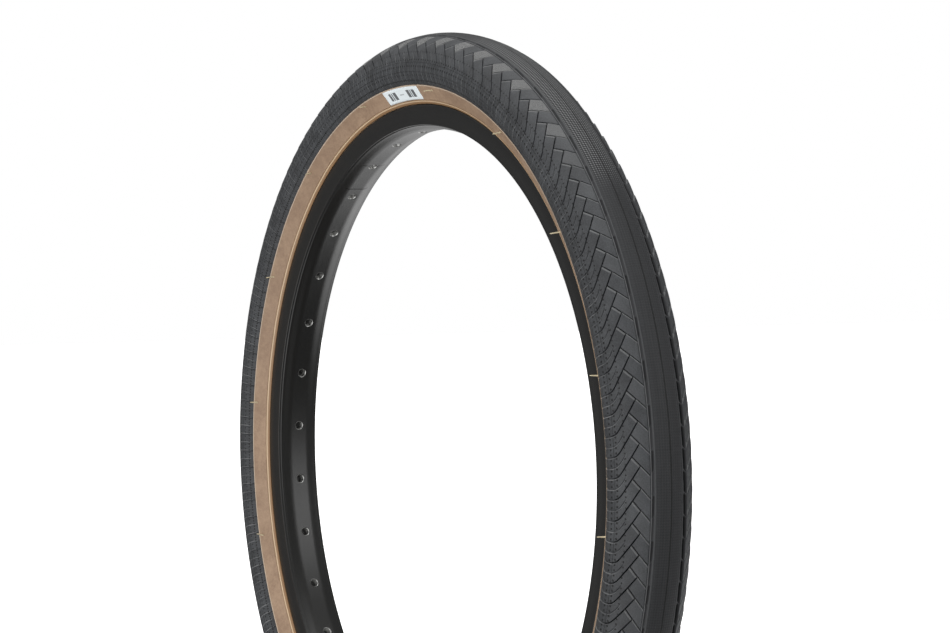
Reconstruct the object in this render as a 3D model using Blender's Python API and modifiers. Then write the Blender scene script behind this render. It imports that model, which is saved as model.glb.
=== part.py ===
"""A 20 inch bicycle tyre mounted with its inner tube on a bare double-wall rim.

Frame: the wheel centre is the origin, the axle line is Y and +Z is up. The labelled
side faces -Y. Every ring is a closed section turned about Y. The valve stands at the
bottom of the wheel and points up at the wheel centre, so its pieces are turned about Z.
"""
import math

import bmesh
import bpy
from mathutils import Matrix, Vector

MM = 0.001
TAU = 2.0 * math.pi

# Rings: 48 flats, with the middle of a flat at the valve.
RING_FLATS = 48
RING_START = math.pi / RING_FLATS
FLAT = math.cos(math.pi / RING_FLATS)
GAP = 0.3

# Tyre section, in mm: half widths (h) and radii (r) of the outer skin.
CROWN_CENTRE_R = 224.13
CROWN_HALF_WIDTH = 25.3
CROWN_HEIGHT = 27.16
CROWN_STATIONS_DEG = (0.0, 20.0, 40.0, 60.0)
SHOULDER = ((23.9, 231.6), (23.5, 226.2))
TREAD_EDGE = (20.52, 220.49)
STRIP_EDGE = (15.25, 211.9)
RIM_CONTACT = (13.95, 209.85)
TREAD_THICK_CROWN = 3.6
TREAD_THICK_EDGE = 1.7
SKIN_THICK = 0.7
PLY_THICK = 0.7
MAIN_PLY_DEPTH_CROWN = TREAD_THICK_CROWN + GAP
MAIN_PLY_DEPTH_SIDE = 2.0

# Bead: a hexagonal wire bundle sitting over the rim's 406 mm bead seat.
BEAD_H = 8.8
BEAD_R = 206.3
BEAD_WIRE_RADIUS = 0.9
PLY_WRAP_RADIUS = 1.3
CHAFER_WRAP_RADIUS = 2.35
CHAFER_THICK = 0.6
TURN_UP_TOP_ALONG = 1.8
TURN_UP_DEPTH = 1.05
TURN_UP_FOOT = (11.3, 210.0)

# Rim, in mm.
FLANGE_TOP_R = 209.5
FLANGE_HALF_WIDTH = 13.8
FLANGE_INNER_HALF_WIDTH = 12.05
FLAT_WALL_R = 204.0
INNER_EDGE_R = 198.0
INNER_EDGE_HALF_WIDTH = 12.9
SPOKE_BED_R = 195.1
SPOKE_BED_HALF_WIDTH = 4.3
SLOPE_TOP = (11.4, 197.5)
BEAD_SEAT_R = 202.95
WELL_R = 201.5
SPOKE_COUNT = 36
SPOKE_HOLE_RADIUS = 2.3
NIPPLE_HOLE_RADIUS = 3.6
VALVE_HOLE_RADIUS = 4.5
DRILL_TWIST = math.radians(7.0)
JOINT_ANGLE_DEG = 120.0
SLEEVE_LENGTH = 26.0

# Rim strip and inner tube.
STRIP_HALF_WIDTH = 6.2
STRIP_BOTTOM_R = WELL_R + GAP
STRIP_TOP_R = STRIP_BOTTOM_R + 0.6
TUBE_WALL = 1.0
TUBE_FLOOR_R = STRIP_TOP_R + GAP
TUBE_FLOOR_HALF_WIDTH = 5.6
PATCH_LENGTH = 17.0
PATCH_WIDTH = 8.6
PATCH_THICK = 1.2

# Valve, in mm along Z. The wheel centre is z = 0 and the tube lies below.
STEM_TOP_Z = -163.0
STEM_FOOT_Z = -207.2
STEM_SHOULDER_Z = -183.0
STEM_THREAD_RADIUS = 3.85
STEM_NECK_RADIUS = 3.0
STEM_CHAMBER_RADIUS = 2.65
STEM_BORE_RADIUS = 2.1
CHAMBER_FLOOR_Z = -182.3
PIN_TIP_Z = -163.6
CAP_RADIUS = 5.1
CAP_TOP_Z = -159.9
CAP_MOUTH_Z = -174.5
CAP_ROOF = 1.5
ROUND_FLATS = 16
SPRING_TURNS = 5.5
SPRING_POINTS_PER_TURN = 10

# Label on the front sidewall.
LABEL_START_DEG = 86.1
LABEL_END_DEG = 97.6
LABEL_STEPS = 4
LABEL_LIFT = 0.4
LABEL_THICK = 0.3

FINISHES = {
    "tread_rubber": ((0.055, 0.060, 0.066), 0.62, 0.0),
    "casing_cloth": ((0.30, 0.24, 0.18), 0.85, 0.0),
    "tan_rubber": ((0.38, 0.26, 0.18), 0.60, 0.0),
    "gum_rubber": ((0.50, 0.31, 0.17), 0.50, 0.0),
    "bead_steel": ((0.50, 0.45, 0.36), 0.35, 1.0),
    "label_vinyl": ((0.80, 0.85, 0.88), 0.45, 0.0),
    "tube_rubber": ((0.02, 0.02, 0.02), 0.45, 0.0),
    "strip_rubber": ((0.03, 0.03, 0.03), 0.55, 0.0),
    "black_anodised": ((0.03, 0.03, 0.032), 0.32, 0.9),
    "plain_aluminium": ((0.70, 0.70, 0.71), 0.35, 1.0),
    "brass": ((0.70, 0.52, 0.24), 0.30, 1.0),
    "spring_steel": ((0.60, 0.60, 0.62), 0.25, 1.0),
    "seal_rubber": ((0.25, 0.03, 0.03), 0.60, 0.0),
    "cap_plastic": ((0.02, 0.02, 0.02), 0.40, 0.0),
}


def clear_scene():
    """Remove everything the new file starts with."""
    for obj in list(bpy.data.objects):
        bpy.data.objects.remove(obj, do_unlink=True)


def new_collection(name):
    """Make a collection under the scene."""
    collection = bpy.data.collections.new(name)
    bpy.context.scene.collection.children.link(collection)
    return collection


def finish(name):
    """Make the Principled material for one finish."""
    material = bpy.data.materials.get(name)
    if material is None:
        material = bpy.data.materials.new(name)
        material.use_nodes = True
        shader = material.node_tree.nodes["Principled BSDF"]
        colour, roughness, metallic = FINISHES[name]
        shader.inputs["Base Color"].default_value = (*colour, 1.0)
        shader.inputs["Roughness"].default_value = roughness
        shader.inputs["Metallic"].default_value = metallic
    return material


def signed_area(loop):
    """Area of a section loop, positive when it runs anticlockwise in (r, h)."""
    area = 0.0
    for (h0, r0), (h1, r1) in zip(loop, loop[1:] + loop[:1]):
        area += r0 * h1 - r1 * h0
    return 0.5 * area


def downward(loop, hollow=False):
    """Order a loop so that its outer side runs down, or up for a hollow inside it."""
    clockwise = signed_area(loop) < 0.0
    return loop if clockwise != hollow else loop[::-1]


def turned(name, loops, flats, start, collection, material):
    """Turn closed (h, r) section loops about local Z with a Screw modifier."""
    mesh = bpy.data.meshes.new(name)
    verts, edges = [], []
    for loop in loops:
        first = len(verts)
        for h, r in loop:
            verts.append((r * MM * math.cos(start), r * MM * math.sin(start), h * MM))
        count = len(loop)
        edges += [(first + i, first + (i + 1) % count) for i in range(count)]
    mesh.from_pydata(verts, edges, [])
    obj = bpy.data.objects.new(name, mesh)
    collection.objects.link(obj)
    screw = obj.modifiers.new("turn", "SCREW")
    screw.axis = "Z"
    screw.angle = TAU
    screw.steps = flats
    screw.render_steps = flats
    screw.merge_threshold = 1e-5
    screw.use_normal_calculate = False
    screw.use_smooth_shade = True
    mesh.materials.append(finish(material))
    return obj


def ring(name, loops, collection, material):
    """Turn section loops about the wheel's axle. Positive h is the front, -Y."""
    obj = turned(name, loops, RING_FLATS, RING_START, collection, material)
    obj.rotation_euler = (math.pi / 2.0, 0.0, 0.0)
    return obj


def lathe(name, loop, base_z, collection, material, flats=ROUND_FLATS):
    """Turn a (z, r) section about the valve axis, with the object's origin at base_z."""
    local = [(z - base_z, r) for z, r in loop]
    obj = turned(name, [downward(local)], flats, math.pi / flats, collection, material)
    obj.location = (0.0, 0.0, base_z * MM)
    return obj


def cut(obj, cutters):
    """Subtract each cutter with an exact Boolean."""
    for cutter in cutters:
        modifier = obj.modifiers.new("cut_" + cutter.name, "BOOLEAN")
        modifier.operation = "DIFFERENCE"
        modifier.solver = "EXACT"
        modifier.object = cutter


def half_turn_sign(loop):
    """Whether a loop runs so that a positive offset moves its points inwards."""
    return 1.0 if signed_area(loop) > 0.0 else -1.0


def cylinder_cutter(name, radius, flats, spans, collection):
    """Make radial cylinders in one mesh, each given as (angle, r_from, r_to)."""
    mesh = bpy.data.meshes.new(name)
    bm = bmesh.new()
    for angle, r_from, r_to in spans:
        middle = 0.5 * (r_from + r_to) * MM
        place = Matrix.Rotation(math.pi / 2.0 - angle, 4, "Y") @ Matrix.Translation((0.0, 0.0, middle))
        twist = Matrix.Rotation(DRILL_TWIST, 4, "Z")
        bmesh.ops.create_cone(bm, cap_ends=True, segments=flats, radius1=radius * MM,
                              radius2=radius * MM, depth=(r_to - r_from) * MM, matrix=place @ twist)
    bm.to_mesh(mesh)
    bm.free()
    obj = bpy.data.objects.new(name, mesh)
    collection.objects.link(obj)
    obj.hide_render = True
    obj.display_type = "WIRE"
    return obj


def mirrored(points):
    """Extend a half section that starts on the centre line to the other side."""
    return [(-h, r) for h, r in reversed(points[1:])] + list(points)


def offset(points, depths):
    """Move each point of an open section line inwards along its mean normal."""
    moved = []
    for i, (h, r) in enumerate(points):
        before = points[max(i - 1, 0)]
        after = points[min(i + 1, len(points) - 1)]
        dh, dr = after[0] - before[0], after[1] - before[1]
        length = math.hypot(dh, dr)
        moved.append((h + dr / length * depths[i], r - dh / length * depths[i]))
    return moved


def arc(centre, radius, start_deg, end_deg, steps):
    """Points of an arc, by angle from +h towards +r."""
    h, r = centre
    angles = [math.radians(start_deg + (end_deg - start_deg) * i / steps) for i in range(steps + 1)]
    return [(h + radius * math.cos(a), r + radius * math.sin(a)) for a in angles]


def crown_half():
    """Outer skin of the tread's half section, from the crown to the tread's edge."""
    points = []
    for degrees in CROWN_STATIONS_DEG:
        a = math.radians(degrees)
        points.append((CROWN_HALF_WIDTH * math.sin(a), CROWN_CENTRE_R + CROWN_HEIGHT * math.cos(a)))
    return points + list(SHOULDER) + [TREAD_EDGE]


def tread_depths(count, at_crown, at_edge):
    """Depths for a mirrored tread line, from its edge to the crown and back."""
    half = [at_crown + (at_edge - at_crown) * (i / (count - 1)) ** 1.5 for i in range(count)]
    return half[:0:-1] + half


def side(loop, front):
    """Put a section loop on the front (+h) or the rear (-h)."""
    return loop if front else [(-h, r) for h, r in loop]


def add_tread(collection):
    """Tread rubber over the crown and shoulders."""
    half = crown_half()
    skin = mirrored(half)
    inner = offset(skin, tread_depths(len(half), TREAD_THICK_CROWN, TREAD_THICK_EDGE))
    ring("tread_cap", [downward(skin + inner[::-1])], collection, "tread_rubber")


def step_along(start, along, distance, depth):
    """Point on the sidewall line, some way along it and some depth below the skin."""
    return (start[0] + along[0] * distance + along[1] * depth,
            start[1] + along[1] * distance - along[0] * depth)


def sidewall_direction():
    """Unit direction of the sidewall's section, from the tread's edge to the rim."""
    return Vector((STRIP_EDGE[0] - TREAD_EDGE[0], STRIP_EDGE[1] - TREAD_EDGE[1])).normalized()


def casing_loop():
    """Section of the ply: over the crown, round each bead and back up as a turn-up."""
    crown = crown_half()
    count = len(crown)
    skin = mirrored(crown)
    outer_depth = tread_depths(count, MAIN_PLY_DEPTH_CROWN, MAIN_PLY_DEPTH_SIDE)
    inner_depth = [d + PLY_THICK for d in outer_depth]
    keep = [i for i in range(count) if i != count - 2]
    outer = [offset(skin, outer_depth)[count - 1 + i] for i in keep]
    inner = [offset(skin, inner_depth)[count - 1 + i] for i in keep]
    bead = (BEAD_H, BEAD_R)
    toe_in = arc(bead, PLY_WRAP_RADIUS + PLY_THICK, 135.0, 360.0, 5)
    toe_out = arc(bead, PLY_WRAP_RADIUS, 135.0, 360.0, 5)
    along = sidewall_direction()
    turn_up = step_along(TREAD_EDGE, along, TURN_UP_TOP_ALONG, TURN_UP_DEPTH)
    turn_inner = step_along(turn_up, along, 0.0, PLY_THICK)
    foot_inner = step_along(TURN_UP_FOOT, along, 0.0, PLY_THICK)
    half = outer + toe_out + [foot_inner, turn_inner]
    half += [turn_up, TURN_UP_FOOT] + toe_in[::-1] + inner[::-1]
    centre_out, centre_in = half[0], half[-1]
    front = half[1:-1]
    rear = [(-h, r) for h, r in reversed(front)]
    return [centre_out] + front + [centre_in] + rear


def add_casing(collection):
    """The cloth body of the tyre, one ply with its edges turned up round the wires."""
    ring("casing", [downward(casing_loop())], collection, "casing_cloth")


def add_side_pieces(collection):
    """Sidewall skin, chafer strip and bead wire, once on each side."""
    edge_h, edge_r = TREAD_EDGE
    strip_h, strip_r = STRIP_EDGE
    along = sidewall_direction()
    top = (edge_h + along[0] * GAP, edge_r + along[1] * GAP)
    middle = (0.5 * (edge_h + strip_h), 0.5 * (edge_r + strip_r))
    foot = (strip_h - along[0] * GAP * 0.5, strip_r - along[1] * GAP * 0.5)
    inner = offset([top, middle, foot], [SKIN_THICK] * 3)
    skin = [top, middle, foot] + inner[::-1]
    bead = (BEAD_H, BEAD_R)
    wrap_out = arc(bead, CHAFER_WRAP_RADIUS + CHAFER_THICK, 0.0, -180.0, 4)
    wrap_in = arc(bead, CHAFER_WRAP_RADIUS, 0.0, -180.0, 4)
    strip_top = step_along(STRIP_EDGE, along, GAP * 0.5, 0.0)
    strip_top_in = step_along(STRIP_EDGE, along, GAP * 0.5, CHAFER_THICK)
    tuck_out = (11.9, RIM_CONTACT[1] - 0.1)
    tuck_in = (11.95, RIM_CONTACT[1] + 0.5)
    chafer = [strip_top, RIM_CONTACT, tuck_out] + wrap_out + wrap_in[::-1] + [tuck_in, strip_top_in]
    wire = arc(bead, BEAD_WIRE_RADIUS, 30.0, 330.0, 5)
    for label, front in (("front", True), ("rear", False)):
        ring("sidewall_" + label, [downward(side(skin, front))], collection, "tan_rubber")
        ring("chafer_" + label, [downward(side(chafer, front))], collection, "gum_rubber")
        ring("bead_wire_" + label, [downward(side(wire, front))], collection, "bead_steel")


def add_label(collection):
    """Plain patch on the front sidewall, bent round the wheel in flat steps."""
    edge_h, edge_r = TREAD_EDGE
    strip_h, strip_r = STRIP_EDGE
    line = [(edge_h + (strip_h - edge_h) * t, edge_r + (strip_r - edge_r) * t) for t in (0.14, 0.5, 0.96)]
    low = offset(line, [-LABEL_LIFT] * 3)
    high = offset(line, [-LABEL_LIFT - LABEL_THICK] * 3)
    section = [low[0], high[0], high[2], low[2]]
    mesh = bpy.data.meshes.new("label_front")
    verts, faces = [], []
    step = (LABEL_END_DEG - LABEL_START_DEG) / LABEL_STEPS
    for i in range(LABEL_STEPS + 1):
        a = math.radians(LABEL_START_DEG + step * i)
        for h, r in section:
            verts.append((r * MM * math.cos(a), -h * MM, r * MM * math.sin(a)))
    count = len(section)
    for i in range(LABEL_STEPS):
        for j in range(count):
            k = (j + 1) % count
            faces.append((i * count + j, i * count + k, (i + 1) * count + k, (i + 1) * count + j))
    faces.append(tuple(range(count - 1, -1, -1)))
    faces.append(tuple(LABEL_STEPS * count + j for j in range(count)))
    mesh.from_pydata(verts, [], faces)
    bm = bmesh.new()
    bm.from_mesh(mesh)
    bmesh.ops.recalc_face_normals(bm, faces=bm.faces)
    bm.to_mesh(mesh)
    bm.free()
    mesh.materials.append(finish("label_vinyl"))
    collection.objects.link(bpy.data.objects.new("label_front", mesh))


def rim_loops():
    """Outer loop and hollow loop of the double-wall rim section."""
    half = [
        (SPOKE_BED_HALF_WIDTH, SPOKE_BED_R), SLOPE_TOP, (INNER_EDGE_HALF_WIDTH, INNER_EDGE_R),
        (FLANGE_HALF_WIDTH, FLAT_WALL_R), (FLANGE_HALF_WIDTH, FLANGE_TOP_R), (12.4, FLANGE_TOP_R),
        (FLANGE_INNER_HALF_WIDTH, FLANGE_TOP_R - 0.6), (FLANGE_INNER_HALF_WIDTH, BEAD_SEAT_R),
        (8.2, BEAD_SEAT_R), (6.8, WELL_R),
    ]
    outer = half + [(-h, r) for h, r in reversed(half)]
    hollow_half = [(4.7, 196.9), (10.9, 198.8), (11.3, 201.5), (8.6, 201.6), (7.2, 200.2)]
    hollow = hollow_half + [(-h, r) for h, r in reversed(hollow_half)]
    return [downward(outer), downward(hollow, hollow=True)]


def add_rim(collection, cutters):
    """Rolled double-wall rim, drilled for the spokes, their nipples and the valve."""
    rim = ring("rim", rim_loops(), collection, "black_anodised")
    spoke_angles = [math.radians(5.0 + 360.0 / SPOKE_COUNT * i) for i in range(SPOKE_COUNT)]
    low = [(a, SPOKE_BED_R - 2.0, SPOKE_BED_R + 3.2) for a in spoke_angles]
    high = [(a, SPOKE_BED_R + 3.3, WELL_R + 2.0) for a in spoke_angles]
    valve = [(math.radians(270.0), SPOKE_BED_R - 2.0, WELL_R + 2.0)]
    cut(rim, [
        cylinder_cutter("spoke_drill", SPOKE_HOLE_RADIUS, 8, low, cutters),
        cylinder_cutter("nipple_drill", NIPPLE_HOLE_RADIUS, 6, high, cutters),
        cylinder_cutter("valve_drill", VALVE_HOLE_RADIUS, 12, valve, cutters),
    ])


def add_rim_sleeve(collection):
    """Aluminium sleeve block inside the hollow that joins the rim's two ends."""
    bottom, top = 197.5, 199.6
    mesh = bpy.data.meshes.new("rim_joint_sleeve")
    bm = bmesh.new()
    reach = math.cos(math.atan2(SLEEVE_LENGTH * 0.5, top))
    low, high = bottom, top * reach
    size = Matrix.Diagonal((9.0 * MM, 8.4 * MM, (high - low) * MM, 1.0))
    angle = math.radians(JOINT_ANGLE_DEG)
    place = Matrix.Rotation(math.pi / 2.0 - angle, 4, "Y") @ Matrix.Translation((0, 0, 0.5 * (low + high) * MM))
    bmesh.ops.create_cube(bm, size=1.0, matrix=place @ size)
    bm.to_mesh(mesh)
    bm.free()
    mesh.materials.append(finish("plain_aluminium"))
    collection.objects.link(bpy.data.objects.new("rim_joint_sleeve", mesh))


def add_rim_strip(collection, cutters):
    """Rubber band over the nipple holes, with a hole for the valve."""
    w = STRIP_HALF_WIDTH
    loop = [(w, STRIP_BOTTOM_R), (w, STRIP_TOP_R), (-w, STRIP_TOP_R), (-w, STRIP_BOTTOM_R)]
    strip = ring("rim_strip", [downward(loop)], collection, "strip_rubber")
    span = [(math.radians(270.0), STRIP_BOTTOM_R - 3.0, STRIP_TOP_R + 3.0)]
    cut(strip, [cylinder_cutter("strip_drill", VALVE_HOLE_RADIUS, 12, span, cutters)])


def tube_section(inset):
    """Tube wall loop: a flat floor over the rim strip and a rounded body above."""
    half = [
        (TUBE_FLOOR_HALF_WIDTH, TUBE_FLOOR_R), (TUBE_FLOOR_HALF_WIDTH, 207.4), (14.6, 218.6),
        (18.9, 228.0), (16.3, 237.4), (8.6, 244.0),
    ]
    outline = half + [(-h, r) for h, r in reversed(half)]
    depth = inset * half_turn_sign(outline)
    moved = offset([outline[-1]] + outline + [outline[0]], [depth] * (len(outline) + 2))
    return moved[1:-1]


def add_tube(collection, cutters):
    """Inflated inner tube, open only where the valve stem passes through its wall."""
    loops = [downward(tube_section(0.0)), downward(tube_section(TUBE_WALL), hollow=True)]
    tube = ring("inner_tube", loops, collection, "tube_rubber")
    span = [(math.radians(270.0), TUBE_FLOOR_R - 3.0, TUBE_FLOOR_R + 3.0)]
    cut(tube, [cylinder_cutter("tube_drill", STEM_NECK_RADIUS + 2 * GAP, 12, span, cutters)])


def add_valve_patch(collection, cutters, top_z):
    """Oval rubber patch on the tube's floor, round the foot of the stem."""
    mesh = bpy.data.meshes.new("valve_patch")
    bm = bmesh.new()
    size = Matrix.Diagonal((0.5 * PATCH_LENGTH * MM, 0.5 * PATCH_WIDTH * MM, PATCH_THICK * MM, 1.0))
    place = Matrix.Translation((0.0, 0.0, (top_z - 0.5 * PATCH_THICK) * MM))
    bmesh.ops.create_cone(bm, cap_ends=True, segments=20, radius1=1.0, radius2=1.0, depth=1.0,
                          matrix=place @ size)
    bm.to_mesh(mesh)
    bm.free()
    mesh.materials.append(finish("tube_rubber"))
    patch = bpy.data.objects.new("valve_patch", mesh)
    collection.objects.link(patch)
    span = [(math.radians(270.0), -top_z - 2.0, -top_z + PATCH_THICK + 2.0)]
    cut(patch, [cylinder_cutter("patch_drill", STEM_NECK_RADIUS + GAP, 12, span, cutters)])


def add_valve_body(collection, cutters):
    """Patch, brass stem and the stem's rubber sleeve."""
    patch_top = -(TUBE_FLOOR_R + TUBE_WALL) * FLAT - GAP
    add_valve_patch(collection, cutters, patch_top)
    neck = STEM_NECK_RADIUS + GAP
    foot_top = patch_top - PATCH_THICK - GAP
    stem = [
        (STEM_TOP_Z, STEM_CHAMBER_RADIUS), (STEM_TOP_Z, STEM_THREAD_RADIUS),
        (STEM_SHOULDER_Z, STEM_THREAD_RADIUS), (STEM_SHOULDER_Z, STEM_NECK_RADIUS),
        (foot_top, STEM_NECK_RADIUS), (foot_top, 4.4), (STEM_FOOT_Z, 4.4),
        (STEM_FOOT_Z, STEM_BORE_RADIUS), (CHAMBER_FLOOR_Z, STEM_BORE_RADIUS),
        (CHAMBER_FLOOR_Z + 0.5, STEM_CHAMBER_RADIUS),
    ]
    lathe("valve_stem", stem, STEM_FOOT_Z, collection, "brass")
    sleeve_foot = -TUBE_FLOOR_R * FLAT + GAP
    top = STEM_SHOULDER_Z - GAP
    sleeve = [(top, neck), (top, 3.7), (top - 1.2, 4.15), (sleeve_foot, 4.15), (sleeve_foot, neck)]
    lathe("valve_stem_rubber", sleeve, sleeve_foot, collection, "tube_rubber")


def add_valve_core(collection):
    """Core screwed into the stem: barrel, gasket, sprung pin, cup seal and spring."""
    barrel = [
        (-165.2, 0.85), (-165.2, 2.3), (-179.3, 2.3), (-179.3, 1.6), (-184.0, 1.6),
        (-184.0, 0.9), (-178.5, 0.9), (-178.5, 1.75), (-168.2, 1.75), (-168.2, 0.85),
    ]
    lathe("valve_core_barrel", barrel, -184.0, collection, "brass", flats=12)
    gasket = [(-179.6, 1.95), (-179.6, 2.3), (-180.9, 2.3), (-181.5, 1.95)]
    lathe("valve_core_gasket", gasket, -181.5, collection, "seal_rubber", flats=12)
    pin = [
        (PIN_TIP_Z, 0.0), (PIN_TIP_Z, 0.5), (-168.5, 0.5), (-168.5, 1.4), (-169.3, 1.4),
        (-169.3, 0.5), (-186.3, 0.5), (-186.3, 1.3), (-187.1, 1.3), (-187.1, 0.0),
    ]
    solid_lathe("valve_core_pin", pin, PIN_TIP_Z, collection, "brass", flats=12)
    cup = [(-184.3, 0.8), (-184.3, 1.75), (-186.0, 1.6), (-186.0, 0.8)]
    lathe("valve_core_cup_seal", cup, -184.3, collection, "seal_rubber", flats=12)
    add_spring(collection)


def solid_lathe(name, line, base_z, collection, material, flats=ROUND_FLATS):
    """Turn an open line whose two ends lie on the axis, closing it at both poles."""
    mesh = bpy.data.meshes.new(name)
    turn = math.pi / flats
    verts = [(r * MM * math.cos(turn), r * MM * math.sin(turn), (z - base_z) * MM) for z, r in line]
    mesh.from_pydata(verts, [(i, i + 1) for i in range(len(line) - 1)], [])
    obj = bpy.data.objects.new(name, mesh)
    collection.objects.link(obj)
    obj.location = (0.0, 0.0, base_z * MM)
    screw = obj.modifiers.new("turn", "SCREW")
    screw.axis = "Z"
    screw.angle = TAU
    screw.steps = flats
    screw.render_steps = flats
    screw.use_merge_vertices = True
    screw.merge_threshold = 1e-5
    screw.use_normal_calculate = False
    screw.use_smooth_shade = True
    mesh.materials.append(finish(material))
    return obj


def add_spring(collection):
    """Return spring between the barrel's floor and the pin's collar."""
    low, high, radius, wire = -177.95, -169.85, 1.13, 0.22
    count = int(SPRING_TURNS * SPRING_POINTS_PER_TURN)
    curve = bpy.data.curves.new("valve_core_spring", "CURVE")
    curve.dimensions = "3D"
    curve.bevel_depth = wire * MM
    curve.bevel_resolution = 2
    curve.use_fill_caps = True
    spline = curve.splines.new("POLY")
    spline.points.add(count)
    for i in range(count + 1):
        a = TAU * i / SPRING_POINTS_PER_TURN
        z = (high - low) * i / count
        spline.points[i].co = (radius * MM * math.cos(a), radius * MM * math.sin(a), z * MM, 1.0)
    wire_obj = bpy.data.objects.new("spring_wire", curve)
    mesh = bpy.data.meshes.new_from_object(wire_obj)
    bpy.data.objects.remove(wire_obj, do_unlink=True)
    mesh.name = "valve_core_spring"
    bm = bmesh.new()
    bm.from_mesh(mesh)
    bmesh.ops.remove_doubles(bm, verts=bm.verts, dist=1e-6)
    bmesh.ops.recalc_face_normals(bm, faces=bm.faces)
    bm.to_mesh(mesh)
    bm.free()
    mesh.materials.clear()
    mesh.materials.append(finish("spring_steel"))
    obj = bpy.data.objects.new("valve_core_spring", mesh)
    obj.location = (0.0, 0.0, low * MM)
    collection.objects.link(obj)


def add_valve_cap(collection):
    """Screw cap over the stem's mouth, with a sealing disc under its roof."""
    bore = STEM_THREAD_RADIUS + GAP
    roof_z = CAP_TOP_Z - CAP_ROOF
    outline = [
        (CAP_TOP_Z, 0.0), (CAP_TOP_Z, CAP_RADIUS - 1.2), (CAP_TOP_Z - 1.4, CAP_RADIUS),
        (CAP_MOUTH_Z, CAP_RADIUS), (CAP_MOUTH_Z, bore), (roof_z, bore), (roof_z, 0.0),
    ]
    solid_lathe("valve_cap", outline, CAP_TOP_Z, collection, "cap_plastic")
    seal_top = roof_z - GAP
    seal = [(seal_top, 0.0), (seal_top, 3.8), (STEM_TOP_Z + GAP, 3.8), (STEM_TOP_Z + GAP, 0.0)]
    solid_lathe("valve_cap_seal", seal, seal_top, collection, "seal_rubber")


def main():
    """Build the whole object."""
    clear_scene()
    parts = new_collection("bicycle_tire")
    cutters = new_collection("cutters")
    add_tread(parts)
    add_casing(parts)
    add_side_pieces(parts)
    add_label(parts)
    add_rim(parts, cutters)
    add_rim_sleeve(parts)
    add_rim_strip(parts, cutters)
    add_tube(parts, cutters)
    add_valve_body(parts, cutters)
    add_valve_core(parts)
    add_valve_cap(parts)


if __name__ == "__main__":
    main()
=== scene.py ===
"""Looks of a small freestyle bicycle tyre mounted on a bare black double-wall rim.

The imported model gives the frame: the wheel centre is the origin, the axle line is Y, the
labelled side faces -Y and the valve stands at the bottom. The tyre's skin is described by
one section line. A place on the skin is (phase, u): phase counts tread pitches round the
wheel, and u is the distance in mm across the skin from the middle of the tread, positive
on the front. Sizes are in millimetres until a mesh is made.
"""

import logging
import math
from dataclasses import dataclass, field
from enum import Enum
from typing import Optional, Sequence, Union

import bmesh
import bpy
import numpy as np
from mathutils import Matrix, Vector


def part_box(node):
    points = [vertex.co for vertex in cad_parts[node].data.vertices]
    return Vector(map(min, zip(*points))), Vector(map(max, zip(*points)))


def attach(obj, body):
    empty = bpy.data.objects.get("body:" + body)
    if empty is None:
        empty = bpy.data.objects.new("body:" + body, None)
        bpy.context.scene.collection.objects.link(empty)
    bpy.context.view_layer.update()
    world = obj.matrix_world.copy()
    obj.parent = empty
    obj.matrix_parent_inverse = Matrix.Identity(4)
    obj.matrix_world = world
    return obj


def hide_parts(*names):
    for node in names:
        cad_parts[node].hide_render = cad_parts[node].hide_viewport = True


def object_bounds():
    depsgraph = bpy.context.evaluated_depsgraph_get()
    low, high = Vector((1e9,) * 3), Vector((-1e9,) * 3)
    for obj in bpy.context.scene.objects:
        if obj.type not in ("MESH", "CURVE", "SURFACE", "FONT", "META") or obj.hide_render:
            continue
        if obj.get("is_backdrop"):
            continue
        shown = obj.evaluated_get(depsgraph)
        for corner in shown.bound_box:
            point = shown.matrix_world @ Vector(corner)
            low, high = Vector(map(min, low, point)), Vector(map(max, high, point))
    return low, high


LOG = logging.getLogger("tyre")
MM = 0.001
TAU = 2.0 * math.pi
Array = np.ndarray
Triple = tuple[float, float, float]
Socket = bpy.types.NodeSocket
Material = bpy.types.Material
Piece = bpy.types.Object


class Side(Enum):
    """The two sides of the wheel. The value is the sign of u on that side."""

    FRONT = 1.0
    REAR = -1.0

    @property
    def label(self) -> str:
        """Lower-case name of the side."""
        return self.name.lower()


def per_side(front: float, rear: float) -> dict[Side, float]:
    """A dataclass field for a size that differs between the two sides."""
    return field(default_factory=lambda: {Side.FRONT: front, Side.REAR: rear})


def steps_of(*places: float) -> Array:
    """A dataclass field for a row of chosen places."""
    return field(default_factory=lambda: np.array(places))


# ---------------------------------------------------------------- mesh helpers


def smooth_curve(x: Array, knots: Sequence[float], values: Sequence[float]) -> Array:
    """Cubic Hermite curve through uneven knots, with finite-difference slopes.

    Args:
        x: Places to read the curve at.
        knots: Rising knot places.
        values: Values at the knots.

    Returns:
        The curve at x, held constant outside the knots.
    """
    k = np.asarray(knots, dtype=float)
    v = np.asarray(values, dtype=float)
    slope = np.gradient(v, k)
    x = np.clip(np.asarray(x, dtype=float), k[0], k[-1])
    i = np.clip(np.searchsorted(k, x, side="right") - 1, 0, len(k) - 2)
    h = k[i + 1] - k[i]
    t = (x - k[i]) / h
    return ((1 + 2 * t) * (1 - t) ** 2 * v[i] + t * (1 - t) ** 2 * h * slope[i]
            + t * t * (3 - 2 * t) * v[i + 1] + t * t * (t - 1) * h * slope[i + 1])


def ease(x: Array, low: float, high: float) -> Array:
    """Smooth step from 0 at low to 1 at high: 3 t squared minus 2 t cubed."""
    t = np.clip((np.asarray(x, dtype=float) - low) / (high - low), 0.0, 1.0)
    return t * t * (3.0 - 2.0 * t)


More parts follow.
